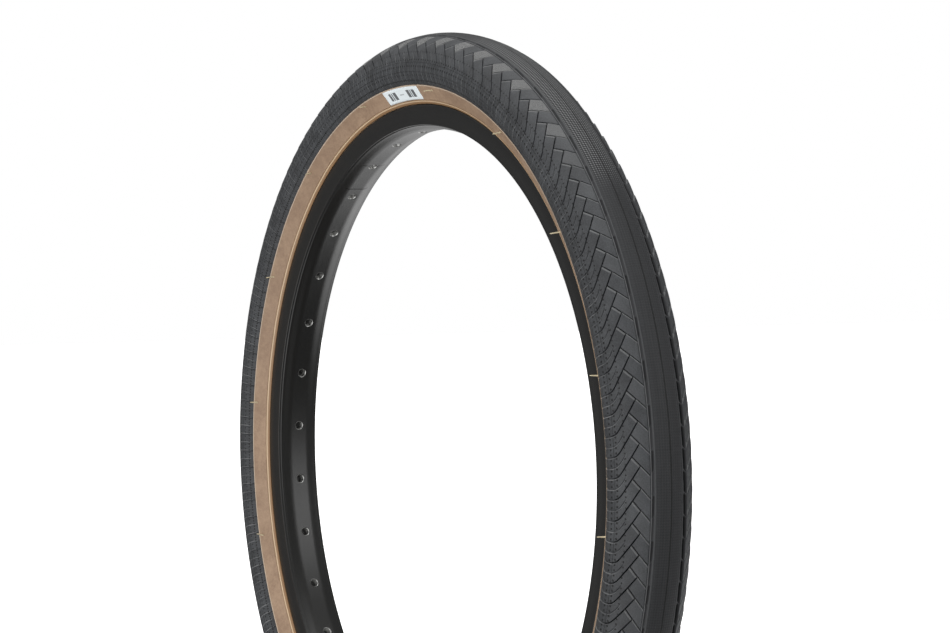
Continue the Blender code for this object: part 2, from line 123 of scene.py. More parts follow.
def grid_quads(rows: int, cols: int, wrap_rows: bool = False, wrap_cols: bool = False) -> Array:
    """Corner numbers of the quads of a rows by cols grid of vertices.

    Args:
        rows: Vertices down the grid.
        cols: Vertices across the grid.
        wrap_rows: Whether the last row joins the first.
        wrap_cols: Whether the last column joins the first.

    Returns:
        An (n, 4) array of vertex numbers.
    """
    r = np.arange(rows if wrap_rows else rows - 1)
    c = np.arange(cols if wrap_cols else cols - 1)
    r0, c0 = np.meshgrid(r, c, indexing="ij")
    r1, c1 = (r0 + 1) % rows, (c0 + 1) % cols
    quads = np.stack([r0 * cols + c0, r0 * cols + c1, r1 * cols + c1, r1 * cols + c0], axis=-1)
    return quads.reshape(-1, 4)


def mesh_object(name: str, verts: Array, quads: Array, material: Material,
                uv: Optional[Array] = None, tone: Optional[Array] = None,
                flip: bool = False) -> Piece:
    """Make a smooth-shaded object from arrays.

    Args:
        name: Name of the object and its mesh.
        verts: (n, 3) points in mm.
        quads: (m, 4) vertex numbers.
        material: Finish of the whole piece.
        uv: (m, 4, 2) corner coordinates, or None.
        tone: (n,) value kept in the attribute "tone", or None.
        flip: Turn every face over.

    Returns:
        The new object, linked to the scene.
    """
    if flip:
        quads = quads[:, ::-1]
        uv = None if uv is None else uv[:, ::-1]
    mesh = bpy.data.meshes.new(name)
    mesh.vertices.add(len(verts))
    mesh.vertices.foreach_set("co", (np.asarray(verts) * MM).astype(np.float32).ravel())
    mesh.loops.add(quads.size)
    mesh.loops.foreach_set("vertex_index", quads.astype(np.int32).ravel())
    mesh.polygons.add(len(quads))
    mesh.polygons.foreach_set("loop_start", np.arange(0, quads.size, 4, dtype=np.int32))
    mesh.polygons.foreach_set("use_smooth", np.ones(len(quads), dtype=bool))
    if uv is not None:
        layer = mesh.uv_layers.new(name="skin")
        layer.data.foreach_set("uv", uv.astype(np.float32).ravel())
    if tone is not None:
        attribute = mesh.attributes.new("tone", "FLOAT", "POINT")
        attribute.data.foreach_set("value", tone.astype(np.float32).ravel())
    mesh.update(calc_edges=True)
    mesh.materials.append(material)
    obj = bpy.data.objects.new(name, mesh)
    bpy.context.scene.collection.objects.link(obj)
    return obj


def ring_corners(quads: Array, rows: int, along: Array, across: Array) -> Array:
    """Corner coordinates of a grid that runs right round, without a jump where it closes.

    Args:
        quads: The grid's quads, as grid_quads gives them.
        rows: Vertices in one column.
        along: First coordinate of each column and of the one past the last.
        across: Second coordinate of each row.

    Returns:
        (n, 4, 2) coordinates.
    """
    col, row = quads[:, 0] // rows, quads[:, 0] % rows
    following = (row + 1) % rows
    return np.stack([along[np.stack([col, col, col + 1, col + 1], axis=1)],
                     across[np.stack([row, following, following, row], axis=1)]], axis=-1)


def stack_grids(grids: Array, wrap_cols: bool = False) -> tuple[Array, Array]:
    """Join equal grids into one vertex list.

    Args:
        grids: (count, rows, cols, 3) points.
        wrap_cols: Whether each grid's last column joins its first.

    Returns:
        (n, 3) points and (m, 4) quads.
    """
    count, rows, cols, _ = grids.shape
    one = grid_quads(rows, cols, wrap_cols=wrap_cols)
    quads = (one[None] + (np.arange(count) * rows * cols)[:, None, None]).reshape(-1, 4)
    return grids.reshape(-1, 3), quads


def settle(obj: Piece, body: str, *nodes: str) -> Piece:
    """Ride a body, stand for CAD nodes and report the piece.

    Args:
        obj: The finished piece.
        body: CAD body that it moves with.
        nodes: CAD nodes that it replaces.

    Returns:
        The same object.
    """
    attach(obj, body)
    if nodes:
        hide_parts(*nodes)
    LOG.info("%s: %d faces", obj.name, len(obj.data.polygons))
    return obj


# ---------------------------------------------------------------- materials


class Wire:
    """A value in a node tree that adds, subtracts and multiplies like a number."""

    def __init__(self, bench: "NodeBench", socket: Socket) -> None:
        """Hold an output socket of the bench's tree."""
        self.bench = bench
        self.socket = socket

    def __add__(self, other: "Value") -> "Wire":
        """This value plus another."""
        return self.bench.math("ADD", self, other)

    def __radd__(self, other: "Value") -> "Wire":
        """A number plus this value."""
        return self.bench.math("ADD", other, self)

    def __sub__(self, other: "Value") -> "Wire":
        """This value less another."""
        return self.bench.math("SUBTRACT", self, other)

    def __rsub__(self, other: "Value") -> "Wire":
        """A number less this value."""
        return self.bench.math("SUBTRACT", other, self)

    def __mul__(self, other: "Value") -> "Wire":
        """This value times another."""
        return self.bench.math("MULTIPLY", self, other)

    def __rmul__(self, other: "Value") -> "Wire":
        """A number times this value."""
        return self.bench.math("MULTIPLY", other, self)


Value = Union[Wire, Socket, float, Sequence[float]]


class NodeBench:
    """A short way to wire a Principled material's maths."""

    def __init__(self, name: str) -> None:
        """Make a new material with only its shader and output."""
        self.material = bpy.data.materials.new(name)
        self.material.use_nodes = True
        self.tree = self.material.node_tree
        self.shader = self.tree.nodes["Principled BSDF"]

    def link(self, source: Value, socket: Socket) -> None:
        """Feed a socket.

        Args:
            source: A wire or another socket, a number, or a colour.
            socket: The input that takes it.
        """
        source = source.socket if isinstance(source, Wire) else source
        if isinstance(source, Socket):
            self.tree.links.new(source, socket)
        elif isinstance(source, (tuple, list)) and len(source) == 3 and socket.type == "RGBA":
            socket.default_value = (*source, 1.0)
        else:
            socket.default_value = source

    def add(self, kind: str, **inputs: Value) -> bpy.types.Node:
        """Add a node and feed some of its inputs.

        Args:
            kind: Node type, without its ShaderNode prefix.
            **inputs: Sources by socket name, with underscores for spaces.

        Returns:
            The new node.
        """
        node = self.tree.nodes.new("ShaderNode" + kind)
        for name, source in inputs.items():
            self.link(source, node.inputs[name.replace("_", " ")])
        return node

    def math(self, operation: str, a: Value, b: Value = 0.0) -> Wire:
        """One Math node.

        Args:
            operation: Blender's name of the operation.
            a: First value.
            b: Second value, where the operation has one.

        Returns:
            The result.
        """
        node = self.add("Math")
        node.operation = operation
        for source, socket in zip((a, b), node.inputs):
            self.link(source, socket)
        return Wire(self, node.outputs[0])

    def most(self, a: Value, b: Value) -> Wire:
        """The larger of two values."""
        return self.math("MAXIMUM", a, b)

    def unsigned(self, a: Value) -> Wire:
        """A value without its sign."""
        return self.math("ABSOLUTE", a)

    def step(self, value: Value, low: float, high: float) -> Wire:
        """Smooth ramp of a value.

        Args:
            value: The value.
            low: Where the ramp is 0.
            high: Where it is 1.

        Returns:
            The ramp.
        """
        node = self.add("MapRange", Value=value, From_Min=low, From_Max=high)
        node.interpolation_type = "SMOOTHSTEP"
        return Wire(self, node.outputs[0])

    def band(self, value: Wire, centre: float, half: float, soft: float) -> Wire:
        """1 within half of a centre, falling to 0 over soft."""
        return 1.0 - self.step(self.unsigned(value - centre), half, half + soft)

    def mix(self, factor: Value, a: Value, b: Value) -> Wire:
        """Mix two colours.

        Args:
            factor: Share of the second.
            a: First colour.
            b: Second colour.

        Returns:
            The mixed colour.
        """
        node = self.add("Mix", Factor=factor)
        node.data_type = "RGBA"
        for source, letter in ((a, "A"), (b, "B")):
            self.link(source, next(s for s in node.inputs if s.name == letter and s.type == "RGBA"))
        return Wire(self, next(s for s in node.outputs if s.type == "RGBA"))

    def skin(self) -> tuple[Wire, Wire]:
        """The piece's own two skin coordinates.

        Returns:
            The coordinate round the wheel and the one across the skin.
        """
        node = self.add("UVMap")
        node.uv_map = "skin"
        split = self.add("SeparateXYZ", Vector=node.outputs[0])
        return Wire(self, split.outputs[0]), Wire(self, split.outputs[1])

    def place(self) -> Wire:
        """Object coordinates, in metres."""
        return Wire(self, self.add("TexCoord").outputs["Object"])

    def tone(self) -> Wire:
        """The piece's "tone" attribute."""
        node = self.add("Attribute")
        node.attribute_name = "tone"
        return Wire(self, node.outputs["Fac"])

    def noise(self, scale: float, detail: float = 3.0, vector: Optional[Value] = None,
              roughness: float = 0.55) -> Wire:
        """Noise over Object coordinates, unless a vector is given.

        Args:
            scale: Cells in a metre, or in one unit of the vector.
            detail: Octaves.
            vector: Where to read the noise.
            roughness: Weight of the finer octaves.

        Returns:
            The noise's value.
        """
        node = self.add("TexNoise")
        self.link(vector or self.place(), node.inputs["Vector"])
        for name, value in (("Scale", scale), ("Detail", detail), ("Roughness", roughness)):
            node.inputs[name].default_value = value
        return Wire(self, node.outputs[0])

    def combine(self, x: Value, y: Value) -> Wire:
        """Vector from two values and 0."""
        return Wire(self, self.add("CombineXYZ", X=x, Y=y).outputs[0])

    def bump(self, height: Wire, distance_mm: float) -> None:
        """Tilt the shader's normal by a height that stands for distance_mm at 1."""
        node = self.add("Bump", Strength=1.0, Distance=distance_mm * MM, Height=height)
        self.link(node.outputs[0], self.shader.inputs["Normal"])

    def set(self, **values: Value) -> None:
        """Set or feed shader sockets by name, with underscores for spaces."""
        for name, value in values.items():
            self.link(value, self.shader.inputs[name.replace("_", " ")])


@dataclass(frozen=True)
class DimpleRow:
    """One row of moulded dimples: distance from the crown, number per pitch and radius.

    Lean is the run of the swept grooves there, in mm round the wheel per mm across.
    """

    u: float
    per_pitch: int
    radius: float
    lean: float = 0.0


@dataclass(frozen=True)
class TreadRubber:
    """Moulded black tread rubber with dimples, scribed lines and hatch patches, with painted shade in its
    recesses and painted highlights on its lips and filed patches.
    """

    # Near-black painted shade for dimples, scribed lines, knurl troughs, the parting line and the channel
    # floors.
    pit_shade: Triple = (0.003, 0.003, 0.003)
    dark: Triple = (0.022, 0.023, 0.025)
    light: Triple = (0.064, 0.068, 0.073)
    # Pale colour that the tread materials paint as highlight on lips, ribs and knurl ridges.
    wear_and_highlight: Triple = (0.165, 0.168, 0.170)
    # Pale colour of the filed patches: the diamond hatch is real, its paleness a painted highlight.
    filed_highlight: Triple = (0.27, 0.27, 0.265)
    band_dark: Triple = (0.012, 0.0125, 0.0135)
    band_light: Triple = (0.056, 0.058, 0.062)
    roughness: float = 0.50
    pitch_mm: float = 11.3
    knurl_light_turn: float = 21.2
    knurl_per_pitch: float = 8.0
    knurl_mm: float = 1.5
    foot_line: tuple[float, float] = (16.14, 20.76)
    scribed_u: tuple[float, float] = (31.3, 36.9)
    file_tooth_mm: float = 0.95
    rows: tuple[DimpleRow, ...] = (
        DimpleRow(24.6, 4, 0.50, -1.40), DimpleRow(29.7, 4, 0.66, -0.55), DimpleRow(33.7, 4, 0.74, -0.08),
        DimpleRow(38.9, 4, 0.55), DimpleRow(42.3, 6, 0.60))

    def dimples(self, bench: NodeBench, s: Wire, u: Wire, row: DimpleRow) -> Wire:
        """A row of round dimples at one distance from the crown.

        Args:
            bench: Where the nodes go.
            s: Phase.
            u: Distance from the crown.
            row: The dimples.

        Returns:
            1 in a dimple and 0 outside.
        """
        cell = bench.math("FRACT", s * float(row.per_pitch)) - 0.5
        along = u - row.u
        across = cell * (self.pitch_mm / row.per_pitch) + along * row.lean
        reach = bench.math("SQRT", across * across + along * along)
        return 1.0 - bench.step(reach, 0.55 * row.radius, row.radius)

    def hatch(self, bench: NodeBench, s: Wire, u: Wire, cell_mm: float) -> Wire:
        """Diamond file pattern: product of two crossed sine waves.

        Args:
            bench: Where the nodes go.
            s: Phase.
            u: Distance from the crown.
            cell_mm: Length of one diamond.

        Returns:
            The pattern, from -1 to 1.
        """
        x = s * (self.pitch_mm * TAU / cell_mm)
        y = u * (TAU / cell_mm)
        return bench.math("SINE", x + y) * bench.math("SINE", x - y)

    def edge_highlights(self, bench: NodeBench, s: Wire, u: Wire, finger: Wire) -> Wire:
        """Painted highlights: pale lips beside the grooves outboard, along the fingers' feet and the sipes,
        where the groove walls face the light.

        Args:
            bench: Where the nodes go.
            s: Phase.
            u: Distance from the crown.
            finger: 1 on the fingers and 0 on the inner blocks.

        Returns:
            1 on a rubbed lip and 0 elsewhere.
        """
        part = bench.math("FRACT", s)
        outboard = bench.step(u, 22.5, 27.0) * (1.0 - bench.step(u, 42.5, 44.5))
        lips = bench.most(bench.band(part, 0.460, 0.013, 0.022),
                          bench.band(part, 0.952, 0.014, 0.022))
        patchy = 0.35 + bench.step(bench.noise(45.0, 2.0), 0.4, 0.6) * 0.65
        fingers = lips * outboard * patchy
        sipes = bench.step(part, 0.905, 0.935) * (1.0 - bench.step(u, 19.5, 20.5))
        low, high = self.foot_line
        past_foot = u - (part * (high - low) + low)
        feet = bench.band(past_foot, 0.45, 0.18, 0.25) * finger
        return bench.most(fingers, bench.most(sipes, feet * 0.7))

    def blocks(self) -> Material:
        """Finish of the shoulder blocks.

        Returns:
            The new material.
        """
        bench = NodeBench("tread_block_rubber")
        s, u_signed = bench.skin()
        u = bench.unsigned(u_signed)
        tone = bench.tone()
        pits: Value = 0.0
        for row in self.rows:
            pits = bench.most(pits, self.dimples(bench, s, u, row))
        lines = bench.most(*(bench.band(u, place, 0.10, 0.16) for place in self.scribed_u))
        cuts = bench.most(pits, lines * 0.5)
        rough_patch = bench.step(tone, 0.55, 1.0)
        teeth = bench.step(self.hatch(bench, s, u, self.file_tooth_mm), -0.35, 0.25)
        file_cut = teeth * rough_patch
        grain = bench.noise(1500.0, 3.0)
        finger = 1.0 - bench.step(tone, 0.505, 0.515)
        edge = self.edge_highlights(bench, s, u, finger)
        height = grain * 0.3 - cuts + file_cut * 0.3
        shade = bench.noise(90.0, 3.0) * 0.35 + (grain * 0.45 + tone * 0.3)
        rubber = bench.mix(bench.step(shade, 0.34, 0.76), self.dark, self.light)
        # Filed patches: real diamond hatch, painted pale as a highlight.
        rubber = bench.mix(file_cut, rubber, self.filed_highlight)
        # Painted highlight: the lips beside the grooves, the fingers' feet and the sipes are painted pale.
        rubber = bench.mix(edge * 0.75, rubber, self.wear_and_highlight)
        # Painted shade: dimples and scribed lines are painted towards near-black in their recesses.
        bench.set(Base_Color=bench.mix(cuts, rubber, self.pit_shade), Specular_IOR_Level=0.35,
                  Roughness=rough_patch * 0.14 + (self.roughness + grain * 0.12))
        bench.bump(height, 0.45)
        return bench.material

    def centre(self) -> Material:
        """Finish of the smooth centre band, with its fine knurl and parting line, painted shade in the
        channels and painted highlights on the lips and ribs.

        Returns:
            The new material.
        """
        bench = NodeBench("tread_centre_rubber")
        s, u = bench.skin()
        away = bench.unsigned(u)
        knurl = bench.math("SINE", s * (TAU * self.knurl_per_pitch))
        rings = bench.math("SINE", u * (TAU / self.knurl_mm))
        knurl = (knurl + rings) * 0.5 * (1.0 - bench.step(away, 7.9, 8.3))
        line = bench.band(u, -0.45, 0.36, 0.22)
        line = bench.most(line, bench.band(away, 7.8, 0.08, 0.2) * 0.5)
        lips = bench.most(bench.band(away, 10.65, 0.1, 0.16), bench.band(away, 8.6, 0.06, 0.14) * 0.5)
        grain = bench.noise(2600.0, 2.0)
        height = knurl * 0.22 + grain * 0.1 - line
        streak = bench.noise(1.0, 3.0, bench.combine(s * 0.35, u * 1.6))
        # Painted highlight and shade on the knurl near one place round the wheel: its ridges painted pale and
        # its troughs near-black.
        knurl_light_shade = knurl * bench.band(s, self.knurl_light_turn, 4.5, 4.0)
        shade = streak * 0.55 + knurl * 0.12 + bench.step(away, 5.5, 9.0) * 0.3
        rubber = bench.mix(shade, self.band_dark, self.band_light)
        rubber = bench.mix(bench.step(knurl_light_shade * -1.0, 0.05, 0.6) * 0.8, rubber, self.pit_shade)
        rubber = bench.mix(bench.step(knurl_light_shade, 0.05, 0.6) * 0.9, rubber, self.wear_and_highlight)
        # Painted shade: the parting line and the step line are painted towards near-black in their grooves.
        rubber = bench.mix(line * 0.85, rubber, self.pit_shade)
        # Painted highlight: the raised lips beside the channels are painted pale.
        rubber = bench.mix(lips * 0.55, rubber, self.wear_and_highlight)
        # Painted highlight: a negative tone marks the rear ribs, which are painted pale as ticks.
        tone = bench.tone()
        rubber = bench.mix(bench.step(tone * -1.0, 0.2, 0.8), rubber, self.wear_and_highlight)
        # Painted shade: the channel floor is painted towards near-black, with less specular, by its depth in
        # the tone.
        sunk = bench.most(tone, 0.0) * 0.9
        bench.set(Base_Color=bench.mix(sunk, rubber, self.pit_shade), Specular_IOR_Level=(1.0 - sunk) * 0.35,
                  Roughness=self.roughness + 0.06 + grain * 0.1)
        bench.bump(height, 0.30)
        return bench.material

    def base(self) -> Material:
        """Finish of the groove floors, coloured darker than the blocks' rubber as painted shade.

        Returns:
            The new material.
        """
        bench = NodeBench("tread_floor_rubber")
        grain = bench.noise(1800.0, 2.0)
        # Painted shade: the floors are coloured darker than the same rubber on the blocks.
        bench.set(Base_Color=bench.mix(grain, (0.006, 0.006, 0.007), (0.013, 0.014, 0.015)), Roughness=0.7,
                  Specular_IOR_Level=0.2)
        bench.bump(grain, 0.08)
        return bench.material


@dataclass(frozen=True)
class TanSidewall:
    """Tan sidewall skin with the cords of the ply showing faintly through.

    The cords cross at plus and minus cord_lean, in mm across for each mm round.
    """

    base: Triple = (0.362, 0.249, 0.166)
    deep: Triple = (0.250, 0.163, 0.106)
    pale: Triple = (0.52, 0.43, 0.34)
    edge_u: float = 45.45
    pitch_mm: float = 10.35
    cord_lean: float = 1.35
    cord_gap: float = 0.62

    def material(self) -> Material:
        """Build the finish.

        Returns:
            The new material.
        """
        bench = NodeBench("tan_sidewall_rubber")
        s, u_signed = bench.skin()
        u = bench.unsigned(u_signed)
        x = s * self.pitch_mm
        cords = bench.math("SINE", (x + u * self.cord_lean) * (TAU / self.cord_gap))
        crossed = bench.math("SINE", (x - u * self.cord_lean) * (TAU / self.cord_gap))
        blotch = bench.noise(55.0, 4.0)
        fleck = bench.noise(900.0, 3.0)
        drag = bench.noise(1.0, 4.0, bench.combine(s * 3.2, u * 0.35))
        mottling = blotch * 0.55 + (fleck * 0.25 + drag * 0.35)
        weave = (cords + crossed) * 0.035
        colour = bench.mix(bench.step(mottling + weave, 0.42, 0.76), self.deep, self.base)
        colour = bench.mix(bench.band(u, self.edge_u + 0.25, 0.12, 0.3) * 0.8, colour, self.pale)
        bench.set(Base_Color=colour, Roughness=0.52 + blotch * 0.16, Specular_IOR_Level=0.35)
        bench.bump(weave * 0.8 + fleck * 0.22, 0.22)
        return bench.material


@dataclass(frozen=True)
class GumStrip:
    """Amber gum strip: a pale outer bead and a deeper band against the rim."""

    pale: Triple = (0.62, 0.47, 0.31)
    amber: Triple = (0.26, 0.145, 0.065)
    pale_u: float = 56.25
    seam_u: float = 55.6

    def material(self) -> Material:
        """Build the finish.

        Returns:
            The new material.
        """
        bench = NodeBench("gum_strip_rubber")
        s, u_signed = bench.skin()
        u = bench.unsigned(u_signed)
        wander = bench.noise(1.0, 2.0, bench.combine(s * 0.5, 0.0))
        shifted = u + (wander - 0.5) * 0.5
        line = bench.band(shifted, self.pale_u, 0.22, 0.32)
        seam = bench.band(shifted, self.seam_u, 0.08, 0.14)
        fleck = bench.noise(700.0, 3.0)
        colour = bench.mix(line, self.amber, self.pale)
        colour = bench.mix(fleck * 0.25, colour, self.amber)
        bench.set(Base_Color=colour, Roughness=0.36 + fleck * 0.15)
        bench.bump(fleck * 0.25 - seam, 0.1)
        return bench.material


@dataclass(frozen=True)
class PlainRubber:
    """Unpatterned rubber or plastic with grain and cloudy wear."""

    name: str
    colour: Triple
    wear_and_highlight: Triple
    roughness: float = 0.5
    grain_scale: float = 1500.0
    grain_mm: float = 0.05

    def material(self) -> Material:
        """Build the finish.

        Returns:
            The new material.
        """
        bench = NodeBench(self.name)
        cloud = bench.noise(120.0, 4.0)
        grain = bench.noise(self.grain_scale, 2.0)
        bench.set(Base_Color=bench.mix(cloud, self.colour, self.wear_and_highlight),
                  Roughness=self.roughness + grain * 0.15)
        bench.bump(grain, self.grain_mm)
        return bench.material


@dataclass(frozen=True)
class WorkedMetal:
    """Metal with fine marks drawn out along one axis by turning or drawing."""

    name: str
    colour: Triple
    shade: Triple
    roughness: float = 0.3
    stretch: Triple = (1.0, 1.0, 12.0)
    scale: float = 900.0
    mark_mm: float = 0.02

    def material(self) -> Material:
        """Build the finish.

        Returns:
            The new material.
        """
        bench = NodeBench(self.name)
        drawn_out = bench.add("Mapping", Scale=self.stretch, Vector=bench.place())
        marks = bench.noise(self.scale, 3.0, drawn_out.outputs[0])
        cloud = bench.noise(200.0, 3.0)
        bench.set(Base_Color=bench.mix(cloud, self.colour, self.shade), Metallic=1.0,
                  Roughness=self.roughness + marks * 0.15)
        bench.bump(marks, self.mark_mm)
        return bench.material


@dataclass(frozen=True)
class BlackAnodised:
    """Black anodised rim with drawing lines round it and bare metal in the drillings.

    Skin coordinates on the rim are (phase, t): phase counts phase_deg round the wheel,
    and t is the distance round the section, bed_t in the middle of the bed. The tone
    attribute is 1 where the drill has cut through to bare metal.
    """

    black: Triple = (0.0035, 0.0035, 0.0028)
    sheen: Triple = (0.0085, 0.0085, 0.0080)
    bare: Triple = (0.38, 0.38, 0.37)
    seams: tuple[float, float] = (42.4, 45.4)
    bed_t: float = 41.97
    phase_deg: float = 2.7

    def material(self) -> Material:
        """Build the finish.

        Returns:
            The new material.
        """
        bench = NodeBench("black_anodised_rim")
        s, t = bench.skin()
        tone = bench.tone()
        lines = bench.noise(1.0, 4.0, bench.combine(s * 0.25, t * 9.0), 0.7)
        cloud = bench.noise(35.0, 3.0)
        bare = bench.step(tone, 0.5, 0.9)
        shade = lines * 0.5 + cloud * 0.5
        colour = bench.mix(bare, bench.mix(shade, self.black, self.sheen), self.bare)
        seam = bench.most(*(bench.band(s, place, 0.035, 0.04) for place in self.seams))
        seam = seam * bench.band(t, self.bed_t, 7.0, 1.0)
        bench.set(Base_Color=colour, Metallic=bare * 0.9, Specular_IOR_Level=0.5 - seam * 0.35,
                  Roughness=0.24 + lines * 0.2)
        bench.bump(lines - seam, 0.03)
        return bench.material


@dataclass(frozen=True)
class ClothPly:
    """Rubberised cord cloth of the casing."""

    light: Triple = (0.36, 0.29, 0.21)
    dark: Triple = (0.20, 0.15, 0.11)

    def material(self) -> Material:
        """Build the finish.

        Returns:
            The new material.
        """
        bench = NodeBench("casing_cloth")
        wave = bench.add("TexWave", Scale=420.0, Distortion=0.6, Vector=bench.place())
        wave.bands_direction = "DIAGONAL"
        fleck = bench.noise(1400.0, 2.0)
        threads = Wire(bench, wave.outputs["Fac"]) * 0.8 + fleck * 0.2
        bench.set(Base_Color=bench.mix(threads, self.dark, self.light), Roughness=0.85)
        bench.bump(threads, 0.12)
        return bench.material


@dataclass(frozen=True)
class PrintedPatch:
    """Pale transfer patch with a plain ruled print of bars and no lettering."""

    paper: Triple = (0.80, 0.86, 0.88)
    ink: Triple = (0.035, 0.035, 0.040)
    bars: tuple[tuple[float, float], ...] = (
        (0.13, 0.050), (0.205, 0.022), (0.255, 0.075), (0.64, 0.075), (0.74, 0.022), (0.79, 0.075))

    def bar(self, bench: NodeBench, s: Wire, t: Wire, left: float, width: float) -> Wire:
        """One upright bar with square ends, in patch coordinates from 0 to 1."""
        across = bench.band(s, left + 0.5 * width, 0.5 * width, 0.006)
        return across * bench.band(t, 0.5, 0.27, 0.02)

    def material(self) -> Material:
        """Build the finish.

        Returns:
            The new material.
        """
        bench = NodeBench("printed_patch")
        s, t = bench.skin()
        print_mask = self.bar(bench, s, t, *self.bars[0])
        for left, width in self.bars[1:]:
            print_mask = bench.most(print_mask, self.bar(bench, s, t, left, width))
        dash = bench.band(s, 0.48, 0.055, 0.006) * bench.band(t, 0.5, 0.035, 0.02)
        print_mask = bench.most(print_mask, dash * 0.5)
        fleck = bench.noise(1800.0, 3.0)
        wear_and_highlight = print_mask * (1.0 - fleck * 0.25)
        paper = bench.mix(fleck * 0.4, self.paper, (0.62, 0.67, 0.69))
        bench.set(Base_Color=bench.mix(wear_and_highlight, paper, self.ink), Roughness=0.42 + fleck * 0.15)
        bench.bump(fleck, 0.04)
        return bench.material


# ---------------------------------------------------------------- the tyre's skin


@dataclass(frozen=True)
class TyreSkin:
    """Section line of the inflated tyre: an elliptic crown running into the sidewalls."""

    crown_centre_r: float = 224.13
    crown_half_width: float = 25.3
    crown_height: float = 27.16
    crown_end_deg: float = 58.0
    side_r: tuple[float, ...] = (233.6, 229.0, 224.6, 220.49, 216.2, 211.9, 209.5)
    side_h: tuple[float, ...] = (23.55, 24.0, 22.75, 20.52, 17.88, 15.25, 13.8)
    pitches: int = 132

    def line(self) -> tuple[Array, Array, Array]:
        """Dense half section as distance from the crown, radius and half width.

        Returns:
            Those three as equal arrays.
        """
        a = np.radians(np.linspace(0.0, self.crown_end_deg, 200))
        r = self.crown_centre_r + self.crown_height * np.cos(a)
        h = self.crown_half_width * np.sin(a)
        knots_r = np.concatenate([r[[-14, -1]], self.side_r])
        knots_h = np.concatenate([h[[-14, -1]], self.side_h])
        chord = np.concatenate([[0.0], np.cumsum(np.hypot(np.diff(knots_r), np.diff(knots_h)))])
        t = np.linspace(chord[1], chord[-1], 400)
        r = np.concatenate([r, smooth_curve(t, chord, knots_r)[1:]])
        h = np.concatenate([h, smooth_curve(t, chord, knots_h)[1:]])
        u = np.concatenate([[0.0], np.cumsum(np.hypot(np.diff(r), np.diff(h)))])
        return u, r, h

    def place(self, phase: Array, u: Array, lift: Array) -> Array:
        """Points on the skin.

        A point at distance u lies at radius r(u) and half width h(u), moved out along
        the section's normal by lift, then turned round the axle by phase pitches.

        Args:
            phase: Pitches round the wheel from +X towards +Z.
            u: Distance across the skin, positive on the front.
            lift: Height over the skin.

        Returns:
            Points with one more axis of length 3.
        """
        phase, u, lift = np.broadcast_arrays(phase, u, lift)
        line_u, line_r, line_h = self.line()
        slope_r = np.gradient(line_r, line_u)
        slope_h = np.gradient(line_h, line_u)
        away, sign = np.abs(u), np.where(u < 0.0, -1.0, 1.0)
        r = np.interp(away, line_u, line_r) + lift * np.interp(away, line_u, slope_h)
        h = np.interp(away, line_u, line_h) - lift * np.interp(away, line_u, slope_r)
        angle = phase * TAU / self.pitches
        return np.stack([r * np.cos(angle), -sign * h, r * np.sin(angle)], axis=-1)

    def pitch_mm(self, u: Array) -> Array:
        """Length of one pitch at a distance from the crown."""
        line_u, line_r, _ = self.line()
        return np.interp(np.abs(u), line_u, line_r) * TAU / self.pitches

    def ring(self, name: str, u: Array, lift: Array, columns: int, material: Material) -> Piece:
        """A closed ring whose section is the same all round.

        Args:
            name: Name of the piece.
            u: Section distances, front to rear across the outside.
            lift: Section heights.
            columns: Steps round the wheel.
            material: Its finish.

        Returns:
            The new object.
        """
        phase = np.arange(columns + 1) * self.pitches / columns
        points = self.place(phase[:-1, None], u[None, :], lift[None, :])
        quads = grid_quads(columns, len(u), wrap_rows=True, wrap_cols=True)
        uv = ring_corners(quads, len(u), phase, u)
        return mesh_object(name, points.reshape(-1, 3), quads, material, uv=uv, flip=True)


